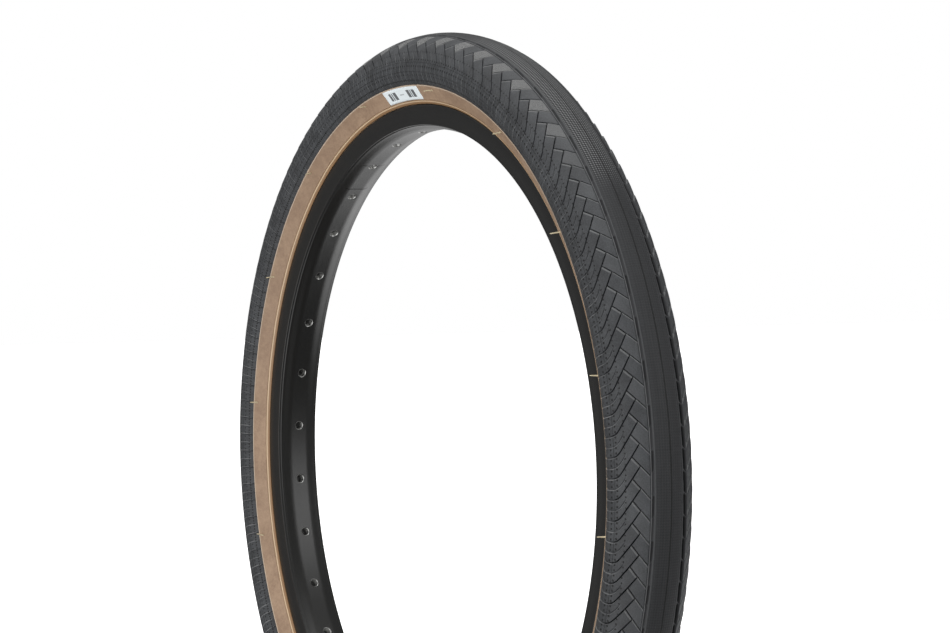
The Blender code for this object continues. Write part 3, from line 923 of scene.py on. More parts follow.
@dataclass
class Tread:
    """Tread rubber: smooth centre band, edge channels and two rows of shoulder blocks."""

    skin: TyreSkin
    rubber: TreadRubber = TreadRubber()
    edge_u: float = 45.3
    groove_depth: float = 1.5
    groove_width: float = 0.85
    foot_width: float = 0.5
    block_rise: dict[Side, float] = per_side(0.25, 0.9)
    sipe_depth: dict[Side, float] = per_side(1.0, 1.5)
    sipe_width: dict[Side, float] = per_side(0.76, 1.7)
    fine_depth: float = 0.45
    fine_width: float = 0.95
    centre_steps: int = 18
    channel_low: float = 9.2
    channel_high: dict[Side, float] = per_side(10.35, 12.0)
    channel_depth: dict[Side, float] = per_side(0.7, 1.4)
    block_foot: dict[Side, float] = per_side(10.95, 12.5)
    sipe_u: tuple[float, float] = (12.4, 20.76)
    sipe_phase: tuple[float, float] = (-0.30, 0.472)
    junction_u: float = 16.14
    tip_u: float = 20.76
    sweep_u: tuple[float, ...] = (10.0, 16.5, 21.1, 24.0, 25.8, 27.3, 28.7, 30.5, 33.0, 36.0, 50.0)
    sweep_phase: tuple[float, ...] = (0.806, 0.0, -0.57, -0.92, -1.14, -1.31, -1.42, -1.505, -1.55,
                                      -1.56, -1.56)
    start_phase: float = 0.50
    half_groove_start: float = 24.1
    foot_depth: float = 1.0
    lip_steps: Array = steps_of(0.0, 0.35, 0.7, 1.0, 1.22, 1.6)
    foot_steps: Array = steps_of(0.0, 0.006, 0.014, 0.022, 0.034)
    finger_middle: Array = steps_of(0.25, 0.34, 0.42, 0.455, 0.48, 0.50, 0.52, 0.545, 0.58, 0.66, 0.75)

    def sweep(self, u: Array) -> Array:
        """Phase of the long swept groove at a distance from the crown."""
        return smooth_curve(u, self.sweep_u, self.sweep_phase)

    def sipe(self, u: Array) -> Array:
        """Phase of the short straight sipe at a distance from the crown."""
        rate = (self.sipe_phase[1] - self.sipe_phase[0]) / (self.sipe_u[1] - self.sipe_u[0])
        return self.sipe_phase[0] + rate * (u - self.sipe_u[0])

    @staticmethod
    def wall(away: Array, depth: Array) -> Array:
        """Height beside a groove: a flat floor, then a wall that rounds over at the top.

        Args:
            away: Distance from the groove's middle, in half widths.
            depth: Depth of the groove.

        Returns:
            Heights from minus depth to 0.
        """
        return -depth * (1.0 - np.sin(0.5 * math.pi * np.clip((away - 0.12) / 1.05, 0.0, 1.0)))

    def across(self, middle: Array, half: Array) -> Array:
        """Places across a block: close together on both lips, and given ones between.

        Args:
            middle: Places away from the lips, from 0 to 1.
            half: Half the groove's width there, in pitches.

        Returns:
            One more axis than half, running from 0 to 1.
        """
        lip = self.lip_steps * half[..., None]
        inner = np.broadcast_to(middle, (*half.shape, len(middle)))
        return np.concatenate([lip, inner, 1.0 - lip[..., ::-1]], axis=-1)

    def repeat(self, name: str, side: Side, finish: Material, s: Array, u: Array,
               lift: Array, lead: Array, tone: Array) -> Piece:
        """Repeat one block's grid once per pitch round one shoulder.

        Args:
            name: Name of the piece, before its side.
            side: The shoulder.
            finish: Its finish.
            s: Places across the block, in pitches.
            u: Distances from the crown.
            lift: Heights over the skin.
            lead: Phase of the groove that bounds the block.
            tone: One tone for each block.

        Returns:
            The new object.
        """
        k = np.arange(self.skin.pitches)
        phase = self.start_phase + lead[None] + s[None] + k[:, None, None]
        verts, quads = stack_grids(self.skin.place(phase, side.value * u[None], lift[None]))
        corner = np.stack([s, side.value * u], axis=-1).reshape(-1, 2)[grid_quads(*u.shape)]
        turn = np.stack([k, 0 * k], axis=-1).astype(float)
        uv = (corner[None] + turn[:, None, None, :]).reshape(-1, 4, 2)
        return mesh_object(f"{name}_{side.label}", verts, quads, finish, uv=uv,
                           tone=np.repeat(tone, u.size), flip=side is Side.FRONT)

    def fingers(self, side: Side, finish: Material) -> Piece:
        """Outer blocks, one curved finger per pitch between two swept grooves.

        A finger's point (s, t) lies at u = u0 + (edge - u0) t, where u0 runs up the
        sipe from the junction to the tip as s goes from 0 to 1, and its phase is
        sweep(u) + s. It falls to the groove's floor at s = 0 and s = 1 and at its foot,
        and dips along the half groove at s = 0.5.

        Args:
            side: The shoulder.
            finish: The blocks' finish.

        Returns:
            The new object.
        """
        t = np.concatenate([self.foot_steps, np.linspace(0.06, 0.62, 19), np.linspace(0.66, 1.0, 9)])
        guess = self.junction_u + (self.edge_u - self.junction_u) * t
        s = self.across(self.finger_middle, self.half_width(guess))
        foot = self.junction_u + (self.tip_u - self.junction_u) * s
        u = foot + (self.edge_u - foot) * t[:, None]
        depth = self.depth(u)
        lift = self.wall(np.minimum(s, 1.0 - s) / self.half_width(guess)[:, None], depth)
        lift = np.minimum(lift, self.wall((u - foot) / (0.5 * self.foot_width), depth))
        dip = np.clip(1.0 - np.abs(s - 0.5) / 0.047, 0.0, 1.0)
        fade = ease(u, self.half_groove_start, self.half_groove_start + 1.2)
        fade = fade * (1.0 - 0.35 * ease(u, 31.0, 36.0))
        lift = lift - 0.50 * dip * fade - 0.25 * ease(u, 43.9, self.edge_u)
        lift = lift - self.block_rise[side] * (1.0 - s) * (1.0 - ease(u, 24.0, 30.0))
        rng = np.random.default_rng(7)
        tone = 0.30 + 0.20 * rng.random(self.skin.pitches)
        return self.repeat("tread_fingers", side, finish, s, u, lift, self.sweep(u), tone)

    def inner_blocks(self, side: Side, finish: Material) -> Piece:
        """Inner blocks, one per pitch between two short sipes; every second one is filed, and the filed ones
        grow paler towards the top of the wheel, a painted highlight.

        A block's point (s, t) runs from its foot beside the channel at t = 0 to its top
        at t = 1, the top falling from the tip at s = 0 to the junction at s = 1. Its
        phase is sipe(u) + s, and it falls to the floor along all four sides.

        Args:
            side: The shoulder.
            finish: The blocks' finish.

        Returns:
            The new object.
        """
        lip = 0.5 * self.groove_width * self.lip_steps
        rate = abs(self.sipe_phase[1] - self.sipe_phase[0]) / (self.sipe_u[1] - self.sipe_u[0])
        start = self.block_foot[side]
        pitch = float(self.skin.pitch_mm(np.array(0.5 * (start + self.junction_u))))
        half = 0.5 * self.sipe_width[side] * math.hypot(1.0, rate * pitch) / pitch
        s = self.across(np.linspace(0.2, 0.8, 6), np.array(half))[None, :]
        top = self.tip_u + (self.junction_u - self.tip_u) * s
        low = np.broadcast_to(start + 0.8 * lip[:, None], (len(lip), s.shape[1]))
        high = top - 1.1 * self.foot_width * self.lip_steps[::-1, None]
        body = low[-1:] + (high[:1] - low[-1:]) * np.linspace(0.0, 1.0, 8)[1:-1, None]
        u = np.concatenate([low, body, high], axis=0)
        s = np.broadcast_to(s, u.shape)
        lift = self.wall(np.minimum(s, 1.0 - s) / half, np.full_like(u, self.sipe_depth[side]))
        lift = np.minimum(lift, self.wall((top - u) / (0.5 * self.foot_width),
                                          np.full_like(u, self.groove_depth)))
        lift = np.minimum(lift, self.wall((u - start) / (0.4 * self.groove_width),
                                          np.full_like(u, self.foot_depth)))
        lift = lift - self.block_rise[side] * (1.0 - s)
        # Filed blocks get a higher tone towards the top of the wheel: a painted highlight where the top light
        # falls.
        k = np.arange(self.skin.pitches)
        height = np.sin(TAU * (k + self.start_phase) / self.skin.pitches)
        tone = np.where(k % 2 == 0, 0.53, 0.62 + 0.38 * ease(height, 0.60, 0.88))
        return self.repeat("tread_blocks", side, finish, s, u, lift, self.sipe(u), tone)

    def width(self, u: Array) -> Array:
        """Groove width: full on the crown side, fine over the shoulder."""
        return self.groove_width + (self.fine_width - self.groove_width) * ease(u, 27.5, 33.0)

    def depth(self, u: Array) -> Array:
        """Groove depth: full on the crown side, shallow over the shoulder."""
        return self.groove_depth + (self.fine_depth - self.groove_depth) * ease(u, 27.0, 35.0)

    def slope(self, u: Array) -> Array:
        """Circumferential run of the swept groove per mm across the skin."""
        step = 0.05
        return (self.sweep(u + step) - self.sweep(u - step)) / (2 * step) * self.skin.pitch_mm(u)

    def half_width(self, u: Array) -> Array:
        """Half the swept groove's width along the circumference, in pitches."""
        return 0.5 * self.width(u) * np.hypot(1.0, self.slope(u)) / self.skin.pitch_mm(u)

    def centre(self) -> Piece:
        """Centre band with a shallow channel along each edge.

        The channel's floor is deeper on every second pitch, and a thin rib crosses it
        where each sipe begins: its height is a ridge over a slanted line.

        Returns:
            The new object.
        """
        front, rear = (
            np.concatenate([np.linspace(0.0, 8.1, 5), np.linspace(8.4, self.block_foot[side] + 0.45, 15)])
            for side in Side)
        u = np.concatenate([-rear[:0:-1], front])
        columns = self.skin.pitches * self.centre_steps
        phase = np.arange(columns + 1) / self.centre_steps
        grid_phase, grid_u = np.meshgrid(phase, u, indexing="ij")
        away = np.abs(grid_u)
        high, depth, edge = (np.where(grid_u > 0.0, size[Side.FRONT], size[Side.REAR])
                             for size in (self.channel_high, self.channel_depth, self.block_foot))
        turn = grid_phase - self.start_phase - self.sipe_phase[0]
        local = turn % 1.0
        slant = 0.22 * (local - 0.5)
        depth = depth * np.where((np.floor(turn) % 2 == 0) | (grid_u < 0.0), 1.0, 0.55)
        inside = self.soft_between(away, self.channel_low - slant, high - slant)
        rib_line = high - 1.9 * np.where(local > 0.5, local - 1.0, local) / 0.16
        rib = np.clip(1.0 - np.abs(away - rib_line) / 0.7, 0.0, 1.0)
        sunk = inside * (1.0 - 0.85 * rib)
        lips = self.bead(away, self.channel_low - 0.6) + self.bead(away, high + 0.3)
        lift = 0.12 * lips - depth * sunk - 0.9 * ease(away, edge + 0.1, edge + 0.3)
        verts = self.skin.place(grid_phase[:-1], grid_u[:-1], lift[:-1])
        quads = grid_quads(columns, len(u), wrap_rows=True)
        uv = ring_corners(quads, len(u), phase, u)
        # The tone carries painted shade, darker with the channel's depth, and a negative value on the rear
        # ribs that the shader paints as pale highlight ticks.
        shadow = sunk * depth / self.channel_depth[Side.REAR] - np.where(grid_u < 0.0, rib * inside, 0.0)
        return mesh_object("tread_centre_band", verts.reshape(-1, 3), quads, self.rubber.centre(), uv=uv,
                           tone=shadow[:-1].ravel())

    @staticmethod
    def bead(away: Array, middle: Array) -> Array:
        """Height of a fine raised lip: a bell 0.16 mm wide."""
        return np.exp(-((away - middle) / 0.16) ** 2)

    @staticmethod
    def soft_between(value: Array, low: Array, high: Array) -> Array:
        """1 between two moving limits, with soft edges of 0.4 mm.

        Args:
            value: Where to look.
            low: Lower limit there.
            high: Upper limit there.

        Returns:
            Values from 0 to 1.
        """
        rise = np.clip((value - low) / 0.4 + 0.5, 0.0, 1.0)
        fall = np.clip((high - value) / 0.4 + 0.5, 0.0, 1.0)
        return rise * rise * (3 - 2 * rise) * fall * fall * (3 - 2 * fall)

    def base(self) -> Piece:
        """Rubber under the blocks: the grooves' floor outside, the cap's back inside.

        Returns:
            The new object.
        """
        outer = np.linspace(-self.edge_u, self.edge_u, 61)
        sunk = self.groove_depth + 0.05 - (self.groove_depth - 0.45) * ease(np.abs(outer), 27.0, 36.0)
        inner = np.linspace(self.edge_u, -self.edge_u, 31)
        back = 3.2 - 1.6 * ease(np.abs(inner), 15.0, 40.0)
        u = np.concatenate([outer, inner])
        lift = np.concatenate([-sunk, -back])
        return self.skin.ring("tread_base", u, lift, 532, self.rubber.base())

    def build(self) -> None:
        """Build every piece of the tread."""
        finish = self.rubber.blocks()
        settle(self.base(), "wheel", "tread_cap")
        settle(self.centre(), "wheel")
        for side in Side:
            settle(self.fingers(side, finish), "wheel")
            settle(self.inner_blocks(side, finish), "wheel")


@dataclass
class SideRings:
    """Tan sidewall skins and gum strips, front and rear."""

    skin: TyreSkin
    tan: TanSidewall = TanSidewall()
    gum: GumStrip = GumStrip()
    wall_u: tuple[float, float] = (45.15, 55.55)
    strip_u: tuple[float, float] = (55.35, 58.15)
    pin_u: float = 54.7
    bead_u: float = 56.15
    back: float = -0.75
    columns: int = 798

    def ring(self, name: str, side: Side, u: Array, lift: Array, material: Material) -> Piece:
        """A ring on one side; the rear section is the front one in a mirror.

        Args:
            name: Name of the piece, before its side.
            side: The side.
            u: Section distances on the front.
            lift: Section heights.
            material: Its finish.

        Returns:
            The new object.
        """
        if side is Side.REAR:
            u, lift = -u[::-1], lift[::-1]
        return self.skin.ring(f"{name}_{side.label}", u, lift, self.columns, material)

    def sidewall(self, side: Side, material: Material) -> Piece:
        """One sidewall skin: a thin ring with a raised pin line near the rim.

        Args:
            side: The side.
            material: Its finish.

        Returns:
            The new object.
        """
        low, high = self.wall_u
        outer = np.linspace(low, high, 24)
        pin = np.exp(-((outer - self.pin_u) / 0.22) ** 2)
        lift = -0.05 - 0.3 * ease(-outer, -low - 0.5, -low) + 0.10 * pin
        inner = outer[::-3]
        return self.ring("sidewall_skin", side, np.concatenate([outer, inner]),
                         np.concatenate([lift, np.full_like(inner, self.back)]), material)

    def strip(self, side: Side, material: Material) -> Piece:
        """One gum strip: a rounded outer bead, a shallow step and the tuck behind the rim.

        Args:
            side: The side.
            material: Its finish.

        Returns:
            The new object.
        """
        low, high = self.strip_u
        outer = np.linspace(low, high, 18)
        bead = 0.16 * np.exp(-((outer - self.bead_u) / 0.55) ** 2)
        lift = bead - 0.25 * ease(-outer, -low - 0.25, -low) - 0.2 * ease(outer, 57.6, high)
        return self.ring("gum_strip", side, np.concatenate([outer, [high, high - 0.6, high - 1.4, low]]),
                         np.concatenate([lift, [-0.9, -1.5, -1.2, self.back]]), material)

    def build(self) -> None:
        """Build the four rings."""
        tan, gum = self.tan.material(), self.gum.material()
        for side in Side:
            settle(self.sidewall(side, tan), "wheel", f"sidewall_{side.label}")
            settle(self.strip(side, gum), "wheel", f"chafer_{side.label}")


@dataclass
class VentWhiskers:
    """Rubber whiskers left by the mould's vents along both tan edges."""

    skin: TyreSkin
    count: int = 16
    first_deg: float = 14.1
    root_u: float = 48.2
    length: dict[Side, float] = per_side(5.6, 1.6)
    radius: float = 0.42
    seed: dict[Side, int] = per_side(11, 12)

    def build(self) -> None:
        """Build the front and the rear row."""
        finish = PlainRubber("whisker_rubber", (0.86, 0.78, 0.54), (0.76, 0.66, 0.44), 0.45).material()
        for side in Side:
            settle(self.row(side, finish), "wheel")

    def row(self, side: Side, material: Material) -> Piece:
        """One row of whiskers.

        A whisker's axis is root + l a + l squared b, with a outwards along the axle and
        leaning to the wheel centre, and b a small droop. Its radius tapers to the tip.

        Args:
            side: The side.
            material: Its finish.

        Returns:
            The new object.
        """
        rng = np.random.default_rng(self.seed[side])
        angle = np.radians(self.first_deg + 360.0 / self.count * np.arange(self.count))
        phase = angle * self.skin.pitches / TAU
        root = self.skin.place(phase, side.value * self.root_u, -0.15)
        level = np.zeros(self.count)
        radial = np.stack([np.cos(angle), level, np.sin(angle)], axis=-1)
        tangent = np.stack([-np.sin(angle), level, np.cos(angle)], axis=-1)
        lean_in = (0.10 + 0.20 * rng.random(self.count))[:, None]
        lean_round = rng.normal(0.0, 0.10, self.count)[:, None]
        way = np.array([0.0, -side.value, 0.0]) - radial * lean_in + tangent * lean_round
        way /= np.linalg.norm(way, axis=1)[:, None]
        bend = (tangent * rng.normal(0.0, 0.20, self.count)[:, None] - radial * 0.25) * 0.06
        steps = np.linspace(0.0, 1.0, 9)
        length = self.length[side] * (0.85 + 0.3 * rng.random(self.count))
        run = length[:, None, None] * steps[None, :, None]
        axis = root[:, None] + run * way[:, None] + run ** 2 * bend[:, None] * 0.35
        first = np.cross(way, radial)
        first /= np.linalg.norm(first, axis=1)[:, None]
        second = np.cross(way, first)
        ring = np.linspace(0.0, TAU, 8, endpoint=False)
        taper = self.radius * np.concatenate([[1.25], np.linspace(1.0, 0.72, 7), [0.02]])
        circle = (np.cos(ring)[None, None, :, None] * first[:, None, None, :]
                  + np.sin(ring)[None, None, :, None] * second[:, None, None, :])
        verts, quads = stack_grids(axis[:, :, None, :] + circle * taper[None, :, None, None], wrap_cols=True)
        return mesh_object(f"vent_whiskers_{side.label}", verts, quads, material, flip=True)


@dataclass
class SidewallPatch:
    """Plain printed patch on the front sidewall near the top."""

    skin: TyreSkin
    start_deg: float = 86.2
    end_deg: float = 97.5
    low_u: float = 46.1
    high_u: float = 55.1
    slant_deg: float = 0.35
    thick: float = 0.22

    def build(self) -> None:
        """Build the patch as a thin closed sheet that follows the sidewall."""
        s = np.linspace(0.0, 1.0, 49)
        t = np.linspace(0.0, 1.0, 13)
        grid_s, grid_t = np.meshgrid(s, t, indexing="ij")
        long, tall = 42.0, self.high_u - self.low_u
        edge = np.minimum.reduce([grid_s * long, (1 - grid_s) * long, grid_t * tall, (1 - grid_t) * tall])
        lift = 0.02 + self.thick * ease(edge, 0.0, 0.35)
        u = self.low_u + (self.high_u - self.low_u) * grid_t
        turn = self.slant_deg * (0.5 - grid_t)
        angle = self.end_deg + (self.start_deg - self.end_deg) * grid_s + turn
        phase = angle / 360.0 * self.skin.pitches
        top = self.skin.place(phase, u, lift)
        back = self.skin.place(phase, u, -0.12)
        rows, cols = grid_s.shape
        quads = grid_quads(rows, cols)
        uv = np.stack([grid_s, 1.0 - grid_t], axis=-1).reshape(-1, 2)
        border = np.concatenate([np.arange(cols), np.arange(1, rows) * cols + cols - 1,
                                 (rows - 1) * cols + np.arange(cols - 2, -1, -1),
                                 np.arange(rows - 2, 0, -1) * cols])
        following = np.roll(border, -1)
        count = rows * cols
        skirt = np.stack([border, border + count, following + count, following], axis=-1)
        faces = np.concatenate([quads, quads[:, ::-1] + count, skirt])
        verts = np.concatenate([top.reshape(-1, 3), back.reshape(-1, 3)])
        obj = mesh_object("sidewall_patch", verts, faces, PrintedPatch().material(),
                          uv=np.concatenate([uv, uv])[faces])
        settle(obj, "wheel", "label_front")


# ---------------------------------------------------------------- the rim


@dataclass
class Rim:
    """Double-wall rim: one closed section, with a hole drilled every ten degrees.

    The section's points are (half width, radius) on one side, from the bed to the well.
    """

    finish: BlackAnodised = BlackAnodised()
    bed_r: float = 195.1
    bed_half: float = 4.3
    hole_radius: float = 2.3
    chamfer: float = 0.5
    hole_depth: float = 4.6
    hole_count: int = 36
    first_hole_deg: float = 5.0
    rear_roll: tuple[float, float] = (0.35, 0.25)
    square_steps: int = 8
    gap_steps: int = 8
    section: tuple[tuple[float, float], ...] = (
        (5.6, 195.35), (7.6, 196.1), (9.4, 196.8), (10.65, 197.25), (10.9, 197.3), (11.15, 197.38),
        (11.3, 197.5), (11.5, 197.78), (12.3, 197.86), (12.75, 197.98), (12.98, 198.35),
        (13.08, 199.2), (13.2, 200.6), (13.45, 202.6), (13.65, 204.0), (13.75, 206.0), (13.8, 208.6),
        (13.72, 209.15), (13.45, 209.42), (13.05, 209.5), (12.6, 209.42), (12.25, 209.1),
        (12.05, 208.4), (12.05, 203.4), (11.6, 202.95), (8.2, 202.95), (7.4, 202.4), (6.8, 201.5),
        (3.0, 201.5))

    def hole_deg(self) -> Array:
        """Angle of each hole."""
        return self.first_hole_deg + 360.0 / self.hole_count * np.arange(self.hole_count)

    def columns(self) -> Array:
        """Angles round the rim: even steps across each hole's square and each gap.

        Returns:
            The angles, in radians.
        """
        half = math.degrees(self.bed_half / self.bed_r)
        step = 360.0 / self.hole_count
        square = np.linspace(-half, half, self.square_steps + 1)
        gap = np.linspace(half, step - half, self.gap_steps + 1)[1:-1]
        one = np.concatenate([square, gap])
        return np.radians((self.hole_deg()[:, None] + one[None, :]).ravel())

    def shell(self) -> tuple[Array, Array, Array, Array]:
        """The section carried round the axle, without the squares round the holes.

        Returns:
            Points, quads, corner coordinates and tones.
        """
        angles = self.columns()
        half = np.array(self.section)
        bed = np.linspace(self.bed_half, -self.bed_half, self.square_steps + 1)
        rear = half * np.array([-1.0, 1.0]) - np.where(half[:, 1:] < 198.0, self.rear_roll, 0.0)
        line = np.concatenate([half[::-1], np.stack([bed, np.full(len(bed), self.bed_r)], axis=-1), rear])
        h, r = line[:, 0], line[:, 1]
        points = np.stack([r[None] * np.cos(angles)[:, None], np.broadcast_to(h[None], (len(angles), len(h))),
                           r[None] * np.sin(angles)[:, None]], axis=-1)
        rows = len(line)
        quads = grid_quads(len(angles), rows, wrap_rows=True, wrap_cols=True)
        col, row = quads[:, 0] // rows, quads[:, 0] % rows
        per_hole = self.square_steps + self.gap_steps
        bed_row = len(half)
        in_bed = (row >= bed_row) & (row < bed_row + self.square_steps)
        kept = ~(in_bed & (col % per_hole < self.square_steps))
        reach = np.concatenate([[0.0], np.cumsum(np.hypot(np.diff(h), np.diff(r)))])
        turn = np.degrees(np.concatenate([angles, angles[:1] + TAU])) / self.finish.phase_deg
        uv = ring_corners(quads, rows, turn, reach)[kept]
        return points.reshape(-1, 3), quads[kept], uv, np.zeros(len(angles) * rows)

    def drillings(self) -> tuple[Array, Array, Array, Array]:
        """The squares round the holes, each morphing from its outline to a chamfered bore.

        Ring j of a square lies at corner outline (1 - w) + circle w in the bed's own
        plane coordinates, w rising from 0 at the outline to 1 at the chamfer's lip, and
        below the lip the bore drops straight away from the wheel centre to a closed end.

        Returns:
            Points, quads, corner coordinates and tones.
        """
        n = self.square_steps
        e = np.linspace(-1.0, 1.0, n + 1)
        outline = np.concatenate([np.stack([e[:-1], np.full(n, -1.0)], axis=-1),
                                  np.stack([np.full(n, 1.0), e[:-1]], axis=-1),
                                  np.stack([e[::-1][:-1], np.full(n, 1.0)], axis=-1),
                                  np.stack([np.full(n, -1.0), e[::-1][:-1]], axis=-1)]) * self.bed_half
        turn = np.arctan2(outline[:, 1], outline[:, 0])
        circle = np.stack([np.cos(turn), np.sin(turn)], axis=-1)
        radius, lip, depth = self.hole_radius, self.hole_radius + self.chamfer, self.hole_depth
        blend = np.array([0.0, 0.35, 0.7, 1.0])[:, None, None]
        flat = outline * (1.0 - blend) + circle * lip * blend
        bore_r = np.array([lip - 0.12, radius + 0.1, radius, radius, radius * 0.5, radius * 0.02])
        plane = np.concatenate([flat, circle * bore_r[:, None, None]])
        deep = np.array([0.0] * len(blend) + [0.03, 0.42, 0.62, depth, depth, depth])
        tone = np.array([0.0] * len(blend) + [1.0] * 3 + [0.55] * 3)
        angle = np.radians(self.hole_deg())[:, None, None] + plane[None, ..., 0] / self.bed_r
        r = np.broadcast_to(self.bed_r + deep[:, None], angle.shape)
        h = np.broadcast_to(plane[..., 1], angle.shape)
        points, quads = stack_grids(np.stack([r * np.cos(angle), h, r * np.sin(angle)], axis=-1),
                                    wrap_cols=True)
        uv = np.stack([np.degrees(angle) / self.finish.phase_deg, self.finish.bed_t - h], axis=-1)
        return (points, quads, uv.reshape(-1, 2)[quads],
                np.tile(np.repeat(tone, len(circle)), self.hole_count))

    def build(self) -> None:
        """Join the shell and the drillings into one closed ring."""
        shell, shell_quads, shell_uv, shell_tone = self.shell()
        holes, hole_quads, hole_uv, hole_tone = self.drillings()
        verts = np.concatenate([shell, holes])
        quads = np.concatenate([shell_quads[:, ::-1], hole_quads + len(shell)])
        uv = np.concatenate([shell_uv[:, ::-1], hole_uv])
        tone = np.concatenate([shell_tone, hole_tone])
        obj = mesh_object("rim_ring", verts, quads, self.finish.material(), uv=uv, tone=tone)
        self.weld(obj)
        settle(obj, "wheel", "rim")

    @staticmethod
    def weld(obj: Piece) -> None:
        """Merge the drillings' outlines into the shell.

        Args:
            obj: The rim, whose mesh is changed.
        """
        bm = bmesh.new()
        bm.from_mesh(obj.data)
        bmesh.ops.remove_doubles(bm, verts=bm.verts, dist=2e-6)
        bmesh.ops.recalc_face_normals(bm, faces=bm.faces)
        bm.to_mesh(obj.data)
        bm.free()


# ---------------------------------------------------------------- valve and hidden parts


def turned_object(name: str, z: Array, radius: Array, material: Material,
                  flip: bool = False) -> Piece:
    """Turn a closed section about the valve's axis: (r cos a, r sin a, z).

    Args:
        name: Name of the piece.
        z: Height of each section point.
        radius: (steps, points) radius of each section point at each step round the axis.
        material: Its finish.
        flip: Turn every face over, for a section that runs down its outside.

    Returns:
        The new object.
    """
    steps, rows = radius.shape
    a = np.linspace(0.0, TAU, steps, endpoint=False)[:, None]
    points = np.stack([radius * np.cos(a), radius * np.sin(a), np.broadcast_to(z, radius.shape)], axis=-1)
    quads = grid_quads(steps, rows, wrap_rows=True, wrap_cols=True)
    return mesh_object(name, points.reshape(-1, 3), quads, material, flip=flip)


@dataclass
class Valve:
    """The valve's visible outside: threaded stem, rubber sleeve and ribbed cap."""

    thread_radius: float = 3.86
    thread_pitch: float = 0.794
    thread_depth: float = 0.32
    neck_radius: float = 3.0
    top_z: float = -163.0
    shoulder_z: float = -183.0
    sleeve_radius: float = 4.12
    sleeve_ring_gap: float = 1.7
    cap_radius: float = 4.75
    cap_crown: float = 1.6
    cap_ribs: int = 24
    rib_height: float = 0.28
    thread_rows: int = 330
    brass: WorkedMetal = WorkedMetal("turned_brass", (0.72, 0.50, 0.20), (0.60, 0.40, 0.15), 0.24,
                                     (1.0, 1.0, 10.0), 700.0)

    def stem(self) -> Piece:
        """Stem whose thread is radius minus depth times a triangle wave of z less the lead.

        Returns:
            The new object.
        """
        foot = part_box("valve_stem")[0][2] / MM
        rows, steps = self.thread_rows, 48
        thread_z = np.linspace(self.top_z, self.shoulder_z, rows)
        z = np.concatenate([thread_z, [self.shoulder_z, foot + 1.6, foot + 1.6, foot, foot],
                            [-182.0, -181.6, self.top_z]])
        r = np.concatenate([np.full(rows, self.thread_radius), [self.neck_radius, self.neck_radius],
                            [4.3, 4.3, 2.1, 2.1, 2.65, 2.65]])
        a = np.linspace(0.0, TAU, steps, endpoint=False)[:, None]
        turns = (thread_z - self.thread_pitch * a / TAU) / self.thread_pitch
        wave = np.abs((turns % 1.0) * 2.0 - 1.0)
        fade = ease(-thread_z, -self.top_z, -self.top_z + 0.7)
        radius = np.tile(r, (steps, 1))
        radius[:, :rows] -= self.thread_depth * wave * fade + 0.35 * (1.0 - fade)
        return turned_object("valve_stem_threaded", z, radius, self.brass.material(), flip=True)

    def sleeve(self) -> Piece:
        """Rubber sleeve with shallow moulded rings.

        Returns:
            The new object.
        """
        foot, top = (corner[2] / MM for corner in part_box("valve_stem_rubber"))
        z = np.linspace(top, foot, 120)
        r = self.sleeve_radius - 0.45 * ease(z, top - 1.3, top)
        r = r - 0.09 * (0.5 + 0.5 * np.cos(TAU * z / self.sleeve_ring_gap)) * (z > -194.0)
        z, r = np.append(z, [foot, top]), np.append(r, [3.25, 3.25])
        rubber = PlainRubber("sleeve_rubber", (0.012, 0.012, 0.012), (0.028, 0.028, 0.028), 0.5)
        return turned_object("valve_sleeve_rubber", z, np.tile(r, (64, 1)), rubber.material(), flip=True)

    def cap(self) -> Piece:
        """Plastic cap with a rounded crown and a rib where cos(ribs a) is positive.

        Returns:
            The new object.
        """
        low, high = (corner[2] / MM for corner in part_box("valve_cap"))
        radius, crown = self.cap_radius, self.cap_crown
        q = np.linspace(0.0, 0.5 * math.pi, 9)
        body = np.linspace(low + 0.9, high - 1.7, 30)
        z = np.concatenate([[low + 0.1, low, low, low + 0.4], body, high - crown + crown * np.sin(q),
                            [high, high - 1.5, high - 1.5]])
        r = np.concatenate([[4.2, 4.35, radius - 0.25, radius], np.full(len(body), radius),
                            radius - crown + crown * np.cos(q), [0.01, 0.01, 4.15]])
        a = np.linspace(0.0, TAU, 144, endpoint=False)[:, None]
        ribbed = (z > low + 1.0) & (z < high - 2.2) & (r > 0.9 * radius)
        swell = self.rib_height * np.clip(np.cos(self.cap_ribs * a), 0.0, 1.0) * ribbed
        plastic = PlainRubber("cap_plastic", (0.010, 0.010, 0.010), (0.022, 0.022, 0.022), 0.36, 2500.0, 0.03)
        return turned_object("valve_cap_ribbed", z, r + swell, plastic.material())

    def build(self) -> None:
        """Build the three outer pieces."""
        settle(self.stem(), "wheel", "valve_stem")
        settle(self.sleeve(), "wheel", "valve_stem_rubber")
        settle(self.cap(), "cap", "valve_cap")


